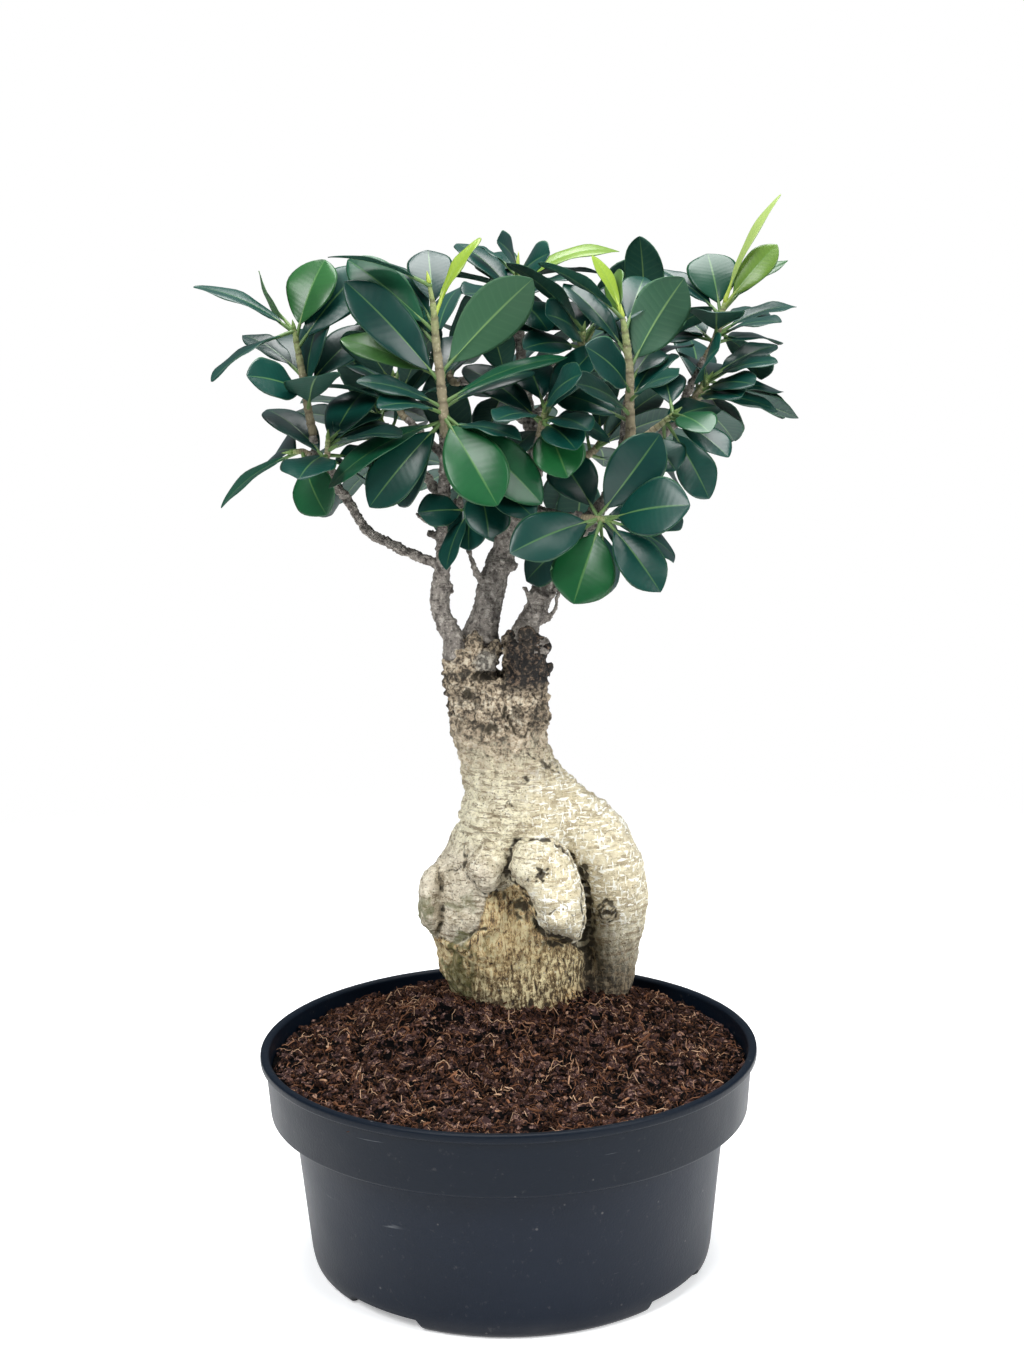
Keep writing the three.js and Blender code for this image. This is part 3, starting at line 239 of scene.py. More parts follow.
# Gathers several closed shapes into the lists of one mesh.
class Gather:
    def __init__(self):
        self.points = []
        self.faces = []
        self.finish = []
        self.tags = []

    def add(self, points, faces, finish=(), tags=()):
        start = len(self.points)
        self.points.extend(points)
        self.faces.extend([tuple(start + k for k in face) for face in faces])
        self.finish.extend(finish)
        self.tags.extend(tags)


# The faces between rings of equal length.
def ringFaces(ringCount, sides):
    faces = []
    for start in range(0, (ringCount - 1) * sides, sides):
        for k in range(sides):
            a, b = start + k, start + (k + 1) % sides
            faces.append((a, b, b + sides, a + sides))
    return faces


# Rings become a closed skin; its ends are one face each.
def skinFaces(ringCount, sides):
    last = (ringCount - 1) * sides
    ends = [tuple(reversed(range(sides))), tuple(range(last, last + sides))]
    return ringFaces(ringCount, sides) + ends


# A smooth curve through given rows, with every column carried along.
def smoothRows(rows, step):
    rows = np.asarray(rows, dtype=float)
    padded = np.vstack([2 * rows[0] - rows[1], rows, 2 * rows[-1] - rows[-2]])
    out = []
    for i in range(1, len(padded) - 2):
        p0, p1, p2, p3 = padded[i - 1:i + 3]
        count = max(1, int(round(np.linalg.norm(p2[:3] - p1[:3]) / step)))
        for t in np.arange(count) / count:
            curve = 2 * p1 + (p2 - p0) * t + (2 * p0 - 5 * p1 + 4 * p2 - p3) * t ** 2
            out.append(0.5 * (curve + (3 * p1 - p0 - 3 * p2 + p3) * t ** 3))
    out.append(rows[-1])
    return np.array(out)


def carriedFrames(points):
    across = np.array([0.0, 1.0, 0.0])
    if abs(tangentAt(points, 0)[1]) > 0.8:
        across = np.array([1.0, 0.0, 0.0])
    frames = []
    for i in range(len(points)):
        along = tangentAt(points, i)
        across = unit(across - along * across.dot(along))
        frames.append((along, across, np.cross(along, across)))
    return frames


def tubeShape(points, radii, sides, wobble=None):
    turns = np.arange(sides) * 2 * math.pi / sides
    skin = []
    for i, (along, across, up) in enumerate(carriedFrames(points)):
        for turn in turns:
            radius = radii[i] * (1 + (wobble(i, turn) if wobble else 0))
            skin.append(points[i] + (across * math.cos(turn) + up * math.sin(turn)) * radius)
    return skin, skinFaces(len(points), sides)


# The pot, turned from its profile, then cut for the gaps between its feet and for its drains.
pot = {
    "rimRadius": 120,
    "height": 105,
    "lipHeight": 4,
    "collarDepth": 30,
    "collarTop": 117.6,
    "collarFoot": 115.6,
    "wallTop": 105,
    "wallFoot": 98,
    "footOuter": 94,
    "footInner": 88,
    "middleFoot": 24,
    "sheet": 1.9,
    "underside": 4,
    "notchHeight": 5.6,
    "notchFlare": 0.05,
    "notchHalfAngle": 0.2,
    "firstNotch": -0.663,
    "drainRadius": 5,
    "drainRing": 68,
    "drains": 8,
    "sides": 192,
}


# Rounds a profile's corners with short arcs.
def roundedProfile(corners, radius, steps=5):
    corners = [np.array(corner, dtype=float) for corner in corners]
    out = [corners[0]]
    for before, corner, after in zip(corners, corners[1:], corners[2:]):
        room = min(radius, 0.45 * np.linalg.norm(before - corner), 0.45 * np.linalg.norm(after - corner))
        start = corner + unit(before - corner) * room
        end = corner + unit(after - corner) * room
        for t in np.linspace(0, 1, steps):
            out.append((1 - t) ** 2 * start + 2 * t * (1 - t) * corner + t ** 2 * end)
    out.append(corners[-1])
    return out


def lathe(profile, sides):
    points = []
    faces = []
    rings = []
    for radius, z in profile:
        start = len(points)
        if radius < 1e-6:
            points.append((0, 0, z))
        else:
            turns = np.arange(sides) * 2 * math.pi / sides
            points.extend((radius * math.cos(t), radius * math.sin(t), z) for t in turns)
        rings.append((start, len(points) - start))
    for (a, countA), (b, countB) in zip(rings, rings[1:]):
        for k in range(sides):
            n = (k + 1) % sides
            if countA == 1:
                faces.append((a, b + n, b + k))
            elif countB == 1:
                faces.append((a + k, a + n, b))
            else:
                faces.append((a + k, a + n, b + n, b + k))
    return points, faces


def cutAway(piece, tool):
    change = piece.modifiers.new("cut", "BOOLEAN")
    change.operation = "DIFFERENCE"
    change.solver = "EXACT"
    change.object = tool
    bakeModifiers(piece)
    bpy.data.objects.remove(tool)


def smoothFaces(mesh):
    mesh.polygons.foreach_set("use_smooth", [True] * len(mesh.polygons))


def bakeModifiers(piece):
    depsgraph = bpy.context.evaluated_depsgraph_get()
    old = piece.data
    piece.data = bpy.data.meshes.new_from_object(piece.evaluated_get(depsgraph))
    piece.data.name = piece.name
    piece.modifiers.clear()
    bpy.data.meshes.remove(old)


# The pot's inner profile, drawn in by a gap.
def insideOf(gap):
    step = pot["height"] - pot["collarDepth"] + pot["sheet"] + gap
    floor = pot["underside"] + pot["sheet"] + gap
    inset = pot["sheet"] + gap
    return [
        (0, floor),
        (pot["wallFoot"] - inset - 3, floor),
        (pot["wallFoot"] - inset, floor + 4),
        (pot["wallTop"] - inset, step),
        (pot["collarFoot"] - inset, step),
        (pot["collarTop"] - inset, pot["height"] - 1),
    ]


def potPiece(finish):
    step = pot["height"] - pot["collarDepth"]
    lip = pot["height"] - pot["lipHeight"]
    under = pot["underside"]
    corners = [
        (0, 0),
        (pot["middleFoot"], 0),
        (pot["middleFoot"], under),
        (pot["footInner"], under),
        (pot["footInner"], 0),
        (pot["footOuter"], 0),
        (pot["wallFoot"] - 1, 2.4),
        (pot["wallFoot"], 7),
        (pot["wallTop"], step),
        (pot["collarFoot"], step),
        (pot["collarTop"], lip),
        (pot["rimRadius"], lip),
        (pot["rimRadius"], pot["height"]),
        (pot["collarTop"] - 0.6, pot["height"]),
        *reversed(insideOf(0)),
    ]
    points, faces = lathe(roundedProfile(corners, 1.3), pot["sides"])
    made = makePiece("pot_body", points, faces, [finish])
    for k in range(4):
        cutAway(made, notchTool(pot["firstNotch"] + k * math.pi / 2))
    for k in range(pot["drains"]):
        turn = k * 2 * math.pi / pot["drains"]
        centre = np.array([math.cos(turn), math.sin(turn), 0]) * pot["drainRing"]
        path = [centre + (0, 0, -5), centre + (0, 0, 12)]
        drain = makePiece("drain", *tubeShape(np.array(path), [pot["drainRadius"]] * 2, 24), [finish])
        cutAway(made, drain)
    smoothFaces(made.data)
    made.data.set_sharp_from_angle(angle=math.radians(40))
    return made


def notchTool(turn):
    inner = pot["footInner"] - 4
    points = []
    for z, flare in ((-4, pot["notchFlare"]), (0.6, pot["notchFlare"] * 0.7), (pot["notchHeight"], 0)):
        half = pot["notchHalfAngle"] + flare
        for r, a in ((inner, -half), (130, -half), (130, half), (inner, half)):
            points.append((r * math.cos(turn + a), r * math.sin(turn + a), z))
    return makePiece("notch", points, skinFaces(3, 4), [])


def potFinish():
    f = Finish("potPlastic")
    place = f.place()
    height = f.split(place, 2)
    mottle = f.noise(place, 38, 3)
    fine = f.noise(place, 900, 2)
    dust = f.smooth(f.noise(place, 260, 4, 0.7), 0.60, 0.78)
    # Scuffs: thin broken streaks that run in two ways round the wall.
    streaks = f.noise(f.stretched(place, (26, 26, 420)), 1.0, 2, 0.5, 0.6)
    scuffs = f.smooth(streaks, 0.735, 0.78) * f.smooth(f.noise(place, 21, 2), 0.5, 0.66)
    specks = f.cells(place, 95)
    flecks = (1 - f.smooth(specks, 0.035, 0.075)) * f.smooth(f.noise(place, 60, 1), 0.5, 0.6)
    base = f.mix(mottle, (0.0030, 0.0062, 0.0130), (0.0062, 0.0105, 0.0195))
    collar = f.smooth(height, 0.073, 0.0745)
    base = f.mix(collar * 0.75, base, (0.0008, 0.0036, 0.0085))
    worn = f.mix(scuffs * 0.45, base, (0.16, 0.17, 0.18))
    dusty = f.mix(dust * 0.12 + flecks * 0.3, worn, (0.20, 0.19, 0.18))
    foot = 1 - f.smooth(height, 0.0, 0.012)
    dusty = f.mix(foot * mottle * 0.25, dusty, (0.12, 0.11, 0.10))
    rough = 0.36 + mottle * 0.16 + scuffs * 0.2 + dust * 0.1
    relief = f.bump(fine * 0.4 + scuffs * -0.5 + mottle * 1.2, 0.35, 0.0006)
    return f.surface(Base_Color=dusty, Roughness=rough, Normal=relief, Specular_IOR_Level=0.14)


potBody = potPiece(potFinish())
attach(potBody, "root")
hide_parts("pot")
print("pot made")


# The soil: its level at the wall, the mound round the root, and its loose pieces.
soil = {
    "level": 96.5,
    "mound": 17,
    "moundReach": 72,
    "heap": 9,
    "heapReach": 26,
    "heapPlace": (-40, 20),
    "rootPlace": (12, 54),
    "gap": 0.35,
    "rings": 108,
    "sides": 300,
    "lumps": 6400,
    "lumpSize": (0.55, 1.9),
    "fibres": 2200,
    "fibreStep": 1.6,
    "shortFibre": (2, 8),
    "longFibre": (9, 28),
    "shortShare": 0.88,
    "fibreRadius": (0.10, 0.24),
    "chips": 150,
    "chipLength": (3, 10),
    "chipWidth": (0.8, 2.4),
    "chipThick": (0.4, 0.9),
}


# The soil's level without its crumbs, and with them.
def soilHeight(x, y):
    away = math.dist((x, y), soil["rootPlace"]) / soil["moundReach"]
    toWall = math.hypot(x, y) / pot["collarTop"]
    mound = soil["mound"] * math.exp(-away * away) * (1 - toWall ** 8)
    aside = math.dist((x, y), soil["heapPlace"]) / soil["heapReach"]
    heap = soil["heap"] * math.exp(-aside * aside)
    ripple = 1.1 * math.sin(x / 11 + 1) * math.cos(y / 13) * (1 - toWall ** 4)
    return soil["level"] + mound + heap + ripple


def crumbHeight(x, y):
    place = Vector((x, y, 7.3))
    lumps = noise.fractal(place * 0.13, 0.9, 2.0, 3) * 3.0
    crumbs = noise.fractal(place * 0.42, 0.7, 2.1, 4) * 2.3
    cracks = abs(noise.noise(place * 0.23)) * 2.0
    toWall = math.hypot(x, y) / (pot["collarTop"] - pot["sheet"])
    ease = 1 - 0.55 * toWall ** 6
    return soilHeight(x, y) + (lumps + crumbs - cracks) * ease


def soilEdge():
    (footRadius, footZ), (topRadius, topZ) = insideOf(soil["gap"])[-2:]
    share = (soil["level"] - footZ) / (topZ - footZ)
    return footRadius + share * (topRadius - footRadius)


def soilPiece(finish):
    edge = soilEdge()
    sides = soil["sides"]
    profile = insideOf(soil["gap"])[:-1]
    points, faces = lathe(profile, sides)
    turns = np.arange(sides) * 2 * math.pi / sides
    last = len(points) - sides
    for ring in range(soil["rings"]):
        share = 1 - (ring / soil["rings"]) ** 1.15
        start = len(points)
        for turn in turns:
            x = edge * share * math.cos(turn)
            y = edge * share * math.sin(turn)
            points.append((x, y, crumbHeight(x, y) if ring else soil["level"] - 1.5))
        for k in range(sides):
            n = (k + 1) % sides
            faces.append((last + k, last + n, start + n, start + k))
        last = start
    points.append((0, 0, crumbHeight(0, 0)))
    for k in range(sides):
        faces.append((last + k, last + (k + 1) % sides, len(points) - 1))
    made = makePiece("soil_bed", points, faces, [finish])
    # Each point keeps its height above the smooth level, by which the peat finish paints its hollows dark as
    # shade.
    setAttribute(made.data, "tone", [(z - soilHeight(x, y), 0, 0) for x, y, z in points])
    return made


# A ball of twenty faces, from which crumbs and knobs are made.
def ballShape():
    golden = (1 + math.sqrt(5)) / 2
    longestEdge = 1.2
    points = []
    for a, b in ((-1, golden), (1, golden), (-1, -golden), (1, -golden)):
        points += [unit(np.array(corner)) for corner in ([a, b, 0.0], [0.0, a, b], [b, 0.0, a])]
    faces = []
    for i, j, k in itertools.combinations(range(12), 3):
        a, b, c = points[i], points[j], points[k]
        if max(np.linalg.norm(a - b), np.linalg.norm(b - c), np.linalg.norm(c - a)) < longestEdge:
            out = np.cross(b - a, c - a).dot(a + b + c) > 0
            faces.append((i, j, k) if out else (i, k, j))
    return points, faces


def onSoil(rng, spread=0.985):
    turn = rng.uniform(0, fullTurn)
    away = math.sqrt(rng.uniform(0, 1)) * soilEdge() * spread
    return away * math.cos(turn), away * math.sin(turn)


def soilLumps(finish):
    rng = np.random.default_rng(5)
    shape, faces = ballShape()
    heap = Gather()
    for _ in range(soil["lumps"]):
        x, y = onSoil(rng)
        size = soil["lumpSize"][0] + soil["lumpSize"][1] * rng.random() ** 3.0
        squash = np.array([rng.uniform(0.7, 1.4), rng.uniform(0.7, 1.4), rng.uniform(0.45, 0.9)])
        turn = np.array(Matrix.Rotation(rng.uniform(0, anyTurn), 3, Vector(rng.normal(size=3))))
        centre = np.array([x, y, crumbHeight(x, y) + size * 0.25])
        rough = rng.uniform(0.5, 1.35, size=12)
        points = [centre + turn @ (corner * squash * size * rough[i]) for i, corner in enumerate(shape)]
        heap.add(points, faces, tags=[(rng.random() * min(1, 1.25 / size),) * 3] * 12)
    return finishedHeap("soil_crumbs", heap, finish)


def soilFibres(finish):
    rng = np.random.default_rng(11)
    heap = Gather()
    step = soil["fibreStep"]
    for _ in range(soil["fibres"]):
        x, y = onSoil(rng, 0.94)
        short = rng.random() < soil["shortShare"]
        length = rng.uniform(*soil["shortFibre" if short else "longFibre"])
        heading = rng.uniform(0, fullTurn)
        curl = rng.normal(0, 0.16)
        path = []
        steps = int(length / step) + 3
        lift = rng.uniform(0.2, 1.6)
        rise = abs(rng.normal(0, 1.3)) if short else 0
        for i in range(steps):
            inside = math.hypot(x, y) < soilEdge() - 3
            arc = math.sin(math.pi * i / (steps - 1))
            path.append(np.array([x, y, crumbHeight(x, y) + 0.2 + lift * arc + rise * i / steps]))
            heading += curl + rng.normal(0, 0.28) + (0 if inside else 0.7)
            x += step * math.cos(heading)
            y += step * math.sin(heading)
        thick = rng.uniform(*soil["fibreRadius"]) * (1.7 if rng.random() < 0.05 else 1)
        radii = [thick * (1 - 0.6 * abs(2 * i / (steps - 1) - 1) ** 3) for i in range(steps)]
        points, faces = tubeShape(path, radii, 4)
        heap.add(points, faces, tags=[(rng.random(),) * 3] * len(points))
    return finishedHeap("soil_fibres", heap, finish)


def soilChips(finish):
    rng = np.random.default_rng(23)
    heap = Gather()
    for _ in range(soil["chips"]):
        x, y = onSoil(rng, 0.95)
        long, wide, thick = [rng.uniform(*soil[key]) for key in ("chipLength", "chipWidth", "chipThick")]
        turn = Matrix.Rotation(rng.uniform(0, anyTurn), 3, "Z") @ Matrix.Rotation(rng.normal(0, 0.3), 3, "Y")
        turn = np.array(turn @ Matrix.Rotation(rng.normal(0, 0.3), 3, "X"))
        centre = np.array([x, y, crumbHeight(x, y) + 0.7])
        bow = rng.normal(0, 0.5)
        points = []
        for i, share in enumerate((-1, -0.4, 0.3, 1)):
            across = wide * (1 - 0.45 * abs(share)) * rng.uniform(0.8, 1.2)
            for side, up in ((-1, -1), (1, -1), (1, 1), (-1, 1)):
                local = np.array([share * long / 2, side * across / 2, up * thick / 2 + bow * share * share])
                points.append(centre + turn @ local)
        heap.add(points, skinFaces(4, 4), tags=[(rng.random(),) * 3] * 16)
    return finishedHeap("soil_chips", heap, finish)


def finishedHeap(name, heap, finish):
    made = makePiece(name, heap.points, heap.faces, [finish], smooth=False)
    setAttribute(made.data, "tone", heap.tags)
    return made


def peatFinish():
    f = Finish("peat")
    place = f.place()
    coarse = f.noise(place, 150, 5, 0.7)
    fine = f.noise(place, 520, 5, 0.75)
    fibre = f.noise(f.stretched(place, (160, 900, 300)), 1.0, 2, 0.5, 1.5)
    lifted = f.split(f.attribute("tone", 1), 0)
    # Painted shade and light: the bed goes near black in its hollows and lighter brown where it stands up, as
    # if lit; the brown flecks and pale fibres show only on those lit parts.
    raisedLit = f.smooth(lifted + (coarse - 0.5) * 0.008 + (fine - 0.5) * 0.004, -0.0022, 0.0022)
    dark = f.mix(raisedLit, (0.0014, 0.0011, 0.0013), (0.046, 0.0245, 0.0235))
    brown = f.mix(f.smooth(fine, 0.54, 0.575) * raisedLit * 0.85, dark, (0.29, 0.175, 0.140))
    lit = f.mix(f.smooth(fibre, 0.62, 0.66) * raisedLit * 0.8, brown, (0.50, 0.27, 0.15))
    relief = f.bump(fine + coarse * 0.8, 1.0, 0.0022)
    return f.surface(Base_Color=lit, Roughness=0.82 + fine * 0.15, Normal=relief, Specular_IOR_Level=0.08)


def crumbFinish():
    f = Finish("peatCrumb")
    place = f.place()
    tone = f.split(f.attribute("tone", 1), 0)
    fine = f.noise(place, 700, 4, 0.7)
    shade = f.ramp(tone, [
        (0.0, (0.0020, 0.0011, 0.0009)), (0.5, (0.0180, 0.0095, 0.0092)), (0.76, (0.0850, 0.0440, 0.0370)),
        (0.90, (0.20, 0.105, 0.075)), (1.0, (0.52, 0.32, 0.22)),
    ])
    grain = f.mix(f.smooth(fine, 0.50, 0.60) * 0.5, shade, (0.13, 0.055, 0.026))
    grain = f.mix((1 - f.smooth(fine, 0.40, 0.48)) * 0.8, grain, (0.0020, 0.0012, 0.0010))
    relief = f.bump(fine, 1.0, 0.0010)
    return f.surface(Base_Color=grain, Roughness=0.9, Normal=relief, Specular_IOR_Level=0.08)


def fibreFinish():
    f = Finish("peatFibre")
    place = f.place()
    tone = f.split(f.attribute("tone", 1), 0)
    fine = f.noise(place, 900, 3, 0.6)
    shade = f.ramp(tone, [
        (0.0, (0.006, 0.0026, 0.0018)), (0.5, (0.050, 0.020, 0.011)), (0.82, (0.26, 0.115, 0.058)),
        (1.0, (0.78, 0.52, 0.33)),
    ])
    grain = f.mix(fine * 0.5, shade, (0.09, 0.034, 0.014))
    relief = f.bump(fine, 0.4, 0.0005)
    return f.surface(Base_Color=grain, Roughness=0.78, Normal=relief, Specular_IOR_Level=0.15)


soilBed = soilPiece(peatFinish())
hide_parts("soil")
looseFinish = fibreFinish()
for made in (soilBed, soilLumps(crumbFinish()), soilFibres(looseFinish), soilChips(looseFinish)):
    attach(made, "root")
print("soil made")


# The plant: its wood and its leaves, by x and z as seen from the front, and depth y.
leftSeat = {"top": 297, "depth": 50}
rightSeat = {"top": 299, "depth": 50}
wood = {
    "gap": 0.35,
    "rootVoxel": 0.98,
    "branchVoxel": 0.75,
    "limbSides": 18,
    "swellingSides": 40,
    "footDepth": 62,
    "neckFrom": 196,
    "neckTo": 304,
    "crustFrom": 252,
    "ribsBelow": 160,
    "rightRootFrom": 42,
}
leafShape = {
    "petiole": 8,
    "petioleWidth": 1.7,
    "bend": 0.07,
    "fold": 0.16,
    "thick": 0.5,
    "clearance": 2.3,
    "woodClearance": 1.3,
    "rounds": 90,
    "ownShootStart": 0.45,
    "depthFavour": 1.5,
    "longestStep": 2.5,
    "goldenAngle": 2.39996,
    "firstTurn": 2.6,
    "crownTop": 474,
    "crownShoulder": 95,
    "crownFall": 1.2,
    "handYouth": 0.12,
    "midrib": 0.62,
    "midribWidth": 0.75,
    "groove": 0.22,
    "grooveWidth": 0.7,
    "ruffle": (0.25, 0.8),
    "droop": (-0.02, 0.05),
    "cup": (0.02, 0.12),
    "budLength": (5, 9),
    "restingBud": 0.6,
    "scarSpacing": 4.6,
    "opened": ("shoot_low_right", "uff", 30),
    "arching": (0.7, "uuf", 0.15),
}

# Each row is x, z, depth y, half width, half depth.
rootLimbs = [
    # The stump, the neck and the wide front root.
    [
        [-2.8, 283, 52, 21.6, 18], [-2.6, 272, 52, 22.9, 20], [-2.1, 260, 52, 22.9, 20.5],
        [-0.4, 249, 52, 21.4, 20], [1.6, 240, 52, 22.4, 21], [4.5, 230, 51.5, 24.2, 24],
        [6.2, 219, 51, 27.8, 27], [5.6, 207, 51, 27.6, 29], [2.2, 195, 51, 31, 30],
        [-0.5, 182, 51, 36, 30.5], [-1, 170, 51, 37, 30.5], [0.5, 160, 51, 36.5, 30],
        [2.4, 149, 52, 35, 28.5], [6, 138, 52.5, 32.4, 27], [10, 127, 53, 29.6, 26],
        [14, 116, 53.5, 27.6, 25], [16, 100, 54, 24, 22], [17, 80, 55, 14, 13],
    ],
    # The callus round the left and the middle graft.
    [
        [-14, 268, 51, 9.5, 15], [-14.6, 283, 50.5, 12.4, 15.5], [-14.8, 290, 50, 12.8, 14.5],
        [-14.8, 297, 50, 12, 12.5],
    ],
    # The callus round the right graft.
    [
        [11, 268, 51, 8.4, 14], [10.2, 283, 50.5, 9.8, 14], [10.2, 291, 50, 9.8, 12.5],
        [10.2, 299, 50, 9, 11],
    ],
    # The thick root that arches over to the right and down behind.
    [
        [8, 240, 52, 11, 14], [20.4, 225.4, 53, 14.4, 18], [33.6, 213, 54, 15.6, 19.5],
        [45, 201.5, 55, 16.4, 20], [50.6, 189.5, 56.5, 16, 20], [52.2, 177, 58.5, 15.6, 19],
        [51.6, 163, 61, 14.6, 17.5], [50, 149, 64.5, 13.4, 16.5], [48.6, 135, 67.5, 12.4, 15.5],
        [47, 122, 70, 11.4, 14], [45, 108, 71, 10, 12], [42, 92, 71, 7, 8],
    ],
    # The root that goes down at the back on the left.
    [
        [-8, 198, 60, 17, 18], [-14.6, 174, 67, 18, 17], [-14, 150, 74, 15.6, 15], [-8, 126, 82, 13, 13],
        [-5, 104, 84, 10, 10], [-4, 86, 85, 6, 7],
    ],
    # The lobe that hangs over the front.
    [
        [10, 203, 27, 6, 6], [13.4, 197, 21, 12.5, 12], [18, 187, 18, 16.5, 14],
        [22.6, 176, 17, 15.4, 13.5], [26.4, 167, 17.5, 12.8, 12], [28.8, 160, 19, 10.2, 9.6],
        [30.6, 154.5, 21.5, 5.6, 5.6],
    ],
    # The round burl beside it, with a drop at its foot.
    [
        [-9, 202, 25, 4, 4], [-8.6, 196.5, 22, 8.8, 8], [-8.2, 189.5, 20.5, 10.4, 9.5],
        [-8, 182.5, 21.5, 7.8, 7.5], [-7.6, 177, 23, 4.6, 5], [-7.4, 172, 25, 2, 3],
    ],
    # The ear-shaped ridge on the left.
    [
        [-29.6, 193.5, 43, 3, 4], [-34.4, 187, 39.5, 4.8, 7.5], [-37, 178.5, 37.5, 5, 9],
        [-37.2, 169.5, 37, 5, 9], [-33.8, 161.5, 39, 3.9, 7], [-31, 156, 41, 3, 4],
    ],
    # The fold that shelves over the front root.
    [
        [-32.4, 158, 37, 3.4, 4], [-23, 153.6, 29, 4.6, 5], [-13, 157, 25, 4.8, 5], [-5.6, 163, 23, 4, 4.6],
        [1, 170, 22.5, 3, 4],
    ],
]


# Each row is x, z, depth y, thickness. A limb with a seat stands on the rootstock.
branches = {
    "branch_left": [
        {"seat": leftSeat, "rows": [
            [-21.2, 297, 44, 9.4], [-21.6, 301, 44, 8.8], [-26, 308, 44, 8.6], [-28.8, 317.5, 44, 8.8],
            [-27.8, 330, 44, 7.4], [-26.4, 341, 43, 7.2], [-26, 352, 41, 6.2], [-25.5, 368, 36, 5.6],
            [-25, 385, 27, 5], [-25, 398, 20, 4.6],
        ]},
        {"rows": [
            [-28, 336, 44, 5], [-33, 338.5, 45, 5.2], [-47.5, 344.5, 46, 5], [-61.5, 353, 46, 4.8],
            [-70, 366.5, 46, 4.4], [-77, 375.5, 45, 4.2], [-84, 387, 45, 4], [-86, 399, 45, 3.8],
        ]},
        {"rows": [[-76, 374, 45, 3], [-76.5, 379, 41, 3], [-79, 384, 37, 2.8]]},
        {"rows": [[-84, 387, 45, 3], [-86.5, 388.4, 44.5, 2.8], [-88.5, 389.2, 44, 2.6]]},
        {"rows": [[-26, 349, 42, 3.6], [-34, 351.6, 42, 3.2]]},
        {"rows": [[-25.6, 364, 38, 4.2], [-34, 378, 54, 3.8], [-46, 388, 70, 3.4]]},
        {"rows": [[-25, 386, 27, 4], [-34, 396, 38, 3.6], [-43, 405, 46, 3.2]]},
    ],
    "branch_middle": [
        {"seat": leftSeat, "rows": [
            [-11, 297, 56.5, 15.4], [-10.4, 301, 56, 15], [-8, 310, 54, 14.8], [-5.4, 321, 53, 14.4],
            [-2.2, 332, 52, 13.6], [1.6, 343, 52, 11.6], [6, 357, 53, 9.6], [12, 368, 55, 8.8],
            [16.5, 382, 59, 7.6], [15, 400, 66, 6.4], [12, 425, 72, 5.4], [10, 448, 75, 4.6],
        ]},
        {"rows": [[10, 363, 54, 5], [20, 360.5, 44, 4.6], [32, 358, 30, 4.2], [40, 357, 22, 3.8]]},
        {"rows": [[3, 350, 52, 4.4], [-4, 353, 42, 4], [-10, 356.5, 33, 3.4]]},
        {"rows": [[16, 385, 60, 4.6], [18, 390, 49, 4.2], [19.5, 396, 37, 3.8]]},
        {"rows": [[15, 400, 66, 4.8], [26, 415, 57, 4.2], [35, 426, 51, 3.8]]},
        {"rows": [[15, 402, 67, 4.4], [10, 404, 82, 4], [8, 406, 92, 3.4]]},
        {"rows": [[12, 368, 55, 4.6], [2, 371, 68, 4.2], [-8, 375, 80, 3.6]]},
        {"rows": [[16.5, 384, 60, 4.8], [28, 383, 73, 4.2], [38, 385, 86, 3.6]]},
        {"rows": [[12, 424, 72, 4.2], [24, 427, 79, 3.8], [34, 431, 85, 3.4]]},
        {"rows": [[12, 426, 72, 4.2], [-3, 422, 79, 3.8], [-18, 421, 85, 3.4]]},
        {"rows": [[-6, 322, 50, 3], [-13, 337, 46, 2.4], [-17, 357, 45, 2.2], [-18, 370, 45, 2]]},
    ],
    "branch_right": [
        {"seat": rightSeat, "rows": [
            [10.2, 299, 50, 13.4], [10.8, 303, 50, 12], [12.6, 308, 50, 11], [16, 314, 50, 11],
            [18.5, 322, 50, 10], [22.5, 329, 50, 9], [31, 343, 49, 7.8], [43, 358, 46, 6.6],
            [52, 368, 43, 5.6], [53.4, 376, 40, 5], [57.5, 386, 34, 4.8], [60.5, 394, 29, 4.6],
        ]},
        {"rows": [[52, 367.6, 43, 4.4], [61, 372, 41, 4.2], [68.6, 376.4, 40, 4]]},
        {"rows": [[56.5, 384, 36, 3.8], [60, 388, 34, 3.6], [63.5, 391, 32, 3.4]]},
        {"rows": [
            [45, 360, 46, 5.4], [62, 379, 54, 4.8], [76, 395, 58, 4.4], [83, 402, 59, 4.2],
            [90, 409.5, 60, 4],
        ]},
        {"rows": [[81, 400, 59, 4], [88, 415, 68, 3.8], [96, 429, 70, 3.6]]},
        {"rows": [[56, 372.5, 51, 4.2], [58, 396, 62, 3.8], [61, 419, 71, 3.4]]},
        {"rows": [[77, 396, 58, 4], [82, 402, 74, 3.8], [87, 407, 89, 3.4]]},
    ],
}


